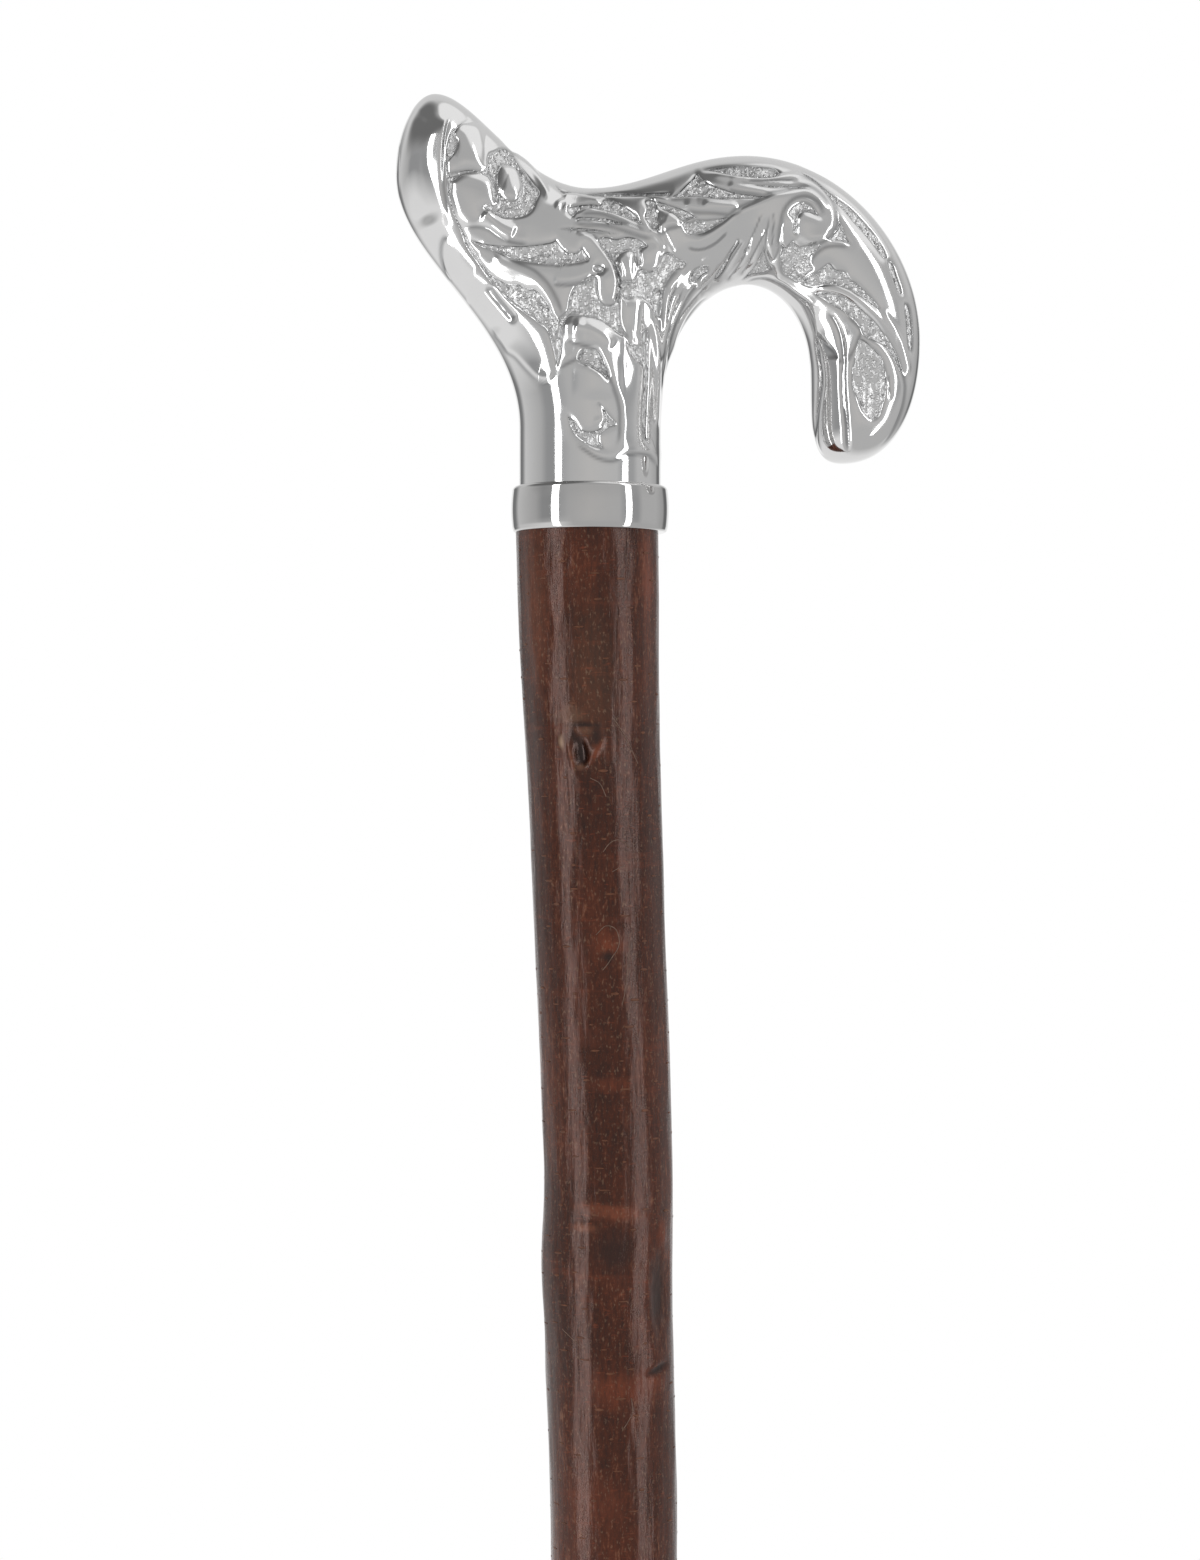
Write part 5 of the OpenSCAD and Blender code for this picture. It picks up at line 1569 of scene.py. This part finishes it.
def inner_finish(name, light, dark, metallic, rough, scale, stretch_by):
    material, tree, shader, coords = new_finish(name)
    tone = noise(tree, stretched(tree, coords, stretch_by), scale, 5)
    feed(tree, shader, {"Base Color": ramp(tree, tone, [(0.35, dark), (0.65, light)]), "Metallic": metallic,
                        "Roughness": between(tree, tone, 0.3, 0.7, rough * 1.2, rough * 0.85)})
    bumped(tree, shader, tone, 0.2, 0.0001)
    return material


class STICK_OT_finish_inner_pieces(Operator):
    """Give the filling, plate, bush, stud and washer their finishes"""
    bl_idname = "stick.finish_inner_pieces"
    bl_label = "Finish inner pieces"

    def execute(self, context):
        for name, finish in INNER_FINISHES.items():
            material = inner_finish(*finish)
            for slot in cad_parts[name].material_slots:
                slot.material = material
        return {"FINISHED"}


# The stage


SENSOR_MM, CLIP_END = 36, 20
# Strip lights: name, bearing in degrees from the camera, width and height in metres
STRIPS = (("left_strip", -52, 0.24, 1.7), ("right_strip", 59, 0.2, 2.2))
STRIP_AWAY, STRIP_DROP = 1.25, 0.1  # metres from the stick, and metres that a strip reaches below the floor
FLOOR_RADIUS, FLOOR_SIDES, FLOOR_DROP = 1.9, 96, 0.0003
# Panels overhead: the way to each, the agreement with it where the panel starts and where it is full, level
OVERHEAD = (((0.5, -0.03, 0.87), 0.84, 0.91, 1.0), ((-0.6, -0.1, 0.79), 0.72, 0.93, 0.18))


def studio_world(scene):
    """A plain studio: white behind the stick and low on its left, grey in front and overhead, with a
    white and a dark panel above."""
    world = bpy.data.worlds.new("studio")
    scene.world = world
    world.use_nodes = True
    tree = world.node_tree
    tree.nodes.clear()
    direction = node(tree, "ShaderNodeTexCoord").outputs["Generated"]
    way = node(tree, "ShaderNodeSeparateXYZ", {0: direction}).outputs
    bearing = calc(tree, "ARCTAN2", way[0], times(tree, way[1], -1.0))
    walls = ramp(tree, between(tree, bearing, -math.pi, math.pi), [
        (at / 360 + 0.5, (v * warm, v, v * (2 - warm), 1.0)) for at, v, warm in STUDIO_WALLS])
    aside = facing(tree, direction, (-0.8, 0.6, 0))
    under = mixed(tree, between(tree, aside, -0.2, 0.25), grey(0.54), grey(0.88))
    room = mixed(tree, between(tree, way[2], -0.06, -0.3), walls, under)
    over = mixed(tree, between(tree, way[1], 0.15, 0.5), grey(0.5), grey(0.72))
    room = mixed(tree, between(tree, way[2], 0.15, 0.45), room, over)
    for way_to, start, full, level in OVERHEAD:
        room = mixed(tree, soft(tree, facing(tree, direction, way_to), start, full), room, grey(level))
    rays = node(tree, "ShaderNodeLightPath").outputs
    room = mixed(tree, rays["Is Diffuse Ray"], room, grey(0.6))
    lit = node(tree, "ShaderNodeBackground", {"Color": mixed(tree, rays["Is Camera Ray"], room, grey(1.0))})
    node(tree, "ShaderNodeOutputWorld", {"Surface": lit.outputs[0]})


def floor_finish(s):
    """A pale floor that keeps the shadow near the stick and goes over into the white background."""
    material, tree, shader, coords = new_finish("pale_floor")
    paper = mottled(tree, noise(tree, coords, 9, 3), 0.3, 0.7, s.floor, 0.985)
    feed(tree, shader, {"Base Color": paper, "Roughness": 0.9})
    away = node(tree, "ShaderNodeVectorMath", {0: coords}, operation="LENGTH").outputs["Value"]
    rays = node(tree, "ShaderNodeLightPath").outputs
    looking = larger(tree, rays["Is Camera Ray"], rays["Is Glossy Ray"])
    looking = larger(tree, looking, rays["Is Transmission Ray"])
    white = node(tree, "ShaderNodeEmission", {"Color": grey(1.0), "Strength": 1.0})
    both = node(tree, "ShaderNodeMixShader", {
        0: times(tree, between(tree, away, 0.35, 1.3), looking), 1: shader.outputs[0], 2: white.outputs[0]})
    tree.links.new(both.outputs[0], tree.nodes["Material Output"].inputs["Surface"])
    return material


class STICK_OT_set_stage(Operator):
    """Set the camera at the photo's view, the soft lights and the pale floor"""
    bl_idname = "stick.set_stage"
    bl_label = "Set stage"

    def execute(self, context):
        s, scene = context.scene.stick_stage, context.scene
        neck_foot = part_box("collar")[1].z
        lens = bpy.data.cameras.new("photo_view")
        lens.lens, lens.sensor_width, lens.clip_end = s.lens, SENSOR_MM, CLIP_END
        camera = placed("photo_view", lens)
        camera.location = (CAMERA_MM[0] * MM, CAMERA_MM[1] * MM, neck_foot + CAMERA_MM[2] * MM)
        camera.rotation_euler = (math.pi / 2, 0, 0)
        scene.camera = camera
        for strip in STRIPS:
            self.lamp(s.strip_radiance, *strip)
        turn = 2 * np.pi * np.arange(FLOOR_SIDES) / FLOOR_SIDES
        rim = [(FLOOR_RADIUS * math.cos(a), FLOOR_RADIUS * math.sin(a), -FLOOR_DROP) for a in turn]
        mesh = bpy.data.meshes.new("floor")
        mesh.from_pydata(rim, [], [list(range(FLOOR_SIDES))])
        mesh.materials.append(floor_finish(s))
        floor = placed("floor", mesh)
        floor.visible_glossy = False
        studio_world(scene)
        scene.view_settings.view_transform = "Standard"
        return {"FINISHED"}

    def lamp(self, radiance, name, turn, width, height):
        """A strip that stands upright and faces the stick."""
        light = bpy.data.lights.new(name, "AREA")
        light.shape, light.size, light.size_y = "RECTANGLE", width, height
        light.energy = radiance * math.pi * width * height
        lamp = placed(name, light)
        a = math.radians(turn)
        lamp.location = (STRIP_AWAY * math.sin(a), -STRIP_AWAY * math.cos(a), height / 2 - STRIP_DROP)
        lamp.rotation_euler = (math.pi / 2, 0, a)


class STICK_PT_panel(Panel):
    """The steps that build the stick"""
    bl_idname = "STICK_PT_panel"
    bl_label = "Walking stick"
    bl_space_type = "VIEW_3D"
    bl_region_type = "UI"
    bl_category = "Stick"

    def draw(self, context):
        for step in STEPS:
            self.layout.operator(step.bl_idname)


SETTINGS = {"stick_handle": HandleSettings, "stick_collar": CollarSettings, "stick_shaft": ShaftSettings,
            "stick_ferrule": FerruleSettings, "stick_stage": StageSettings}
STEPS = (STICK_OT_press_handle, STICK_OT_turn_collar, STICK_OT_grow_shaft, STICK_OT_mark_bark,
         STICK_OT_mould_ferrule, STICK_OT_finish_inner_pieces, STICK_OT_set_stage)
CLASSES = (*SETTINGS.values(), *STEPS, STICK_PT_panel)


def register():
    for made in CLASSES:
        bpy.utils.register_class(made)
    for name, settings in SETTINGS.items():
        setattr(bpy.types.Scene, name, PointerProperty(type=settings))


def unregister():
    for name in SETTINGS:
        delattr(bpy.types.Scene, name)
    for made in reversed(CLASSES):
        bpy.utils.unregister_class(made)


def main():
    register()
    bpy.ops.stick.press_handle()
    bpy.ops.stick.turn_collar()
    bpy.ops.stick.grow_shaft()
    bpy.ops.stick.mark_bark()
    bpy.ops.stick.mould_ferrule()
    bpy.ops.stick.finish_inner_pieces()
    bpy.ops.stick.set_stage()


if __name__ == "__main__":
    main()
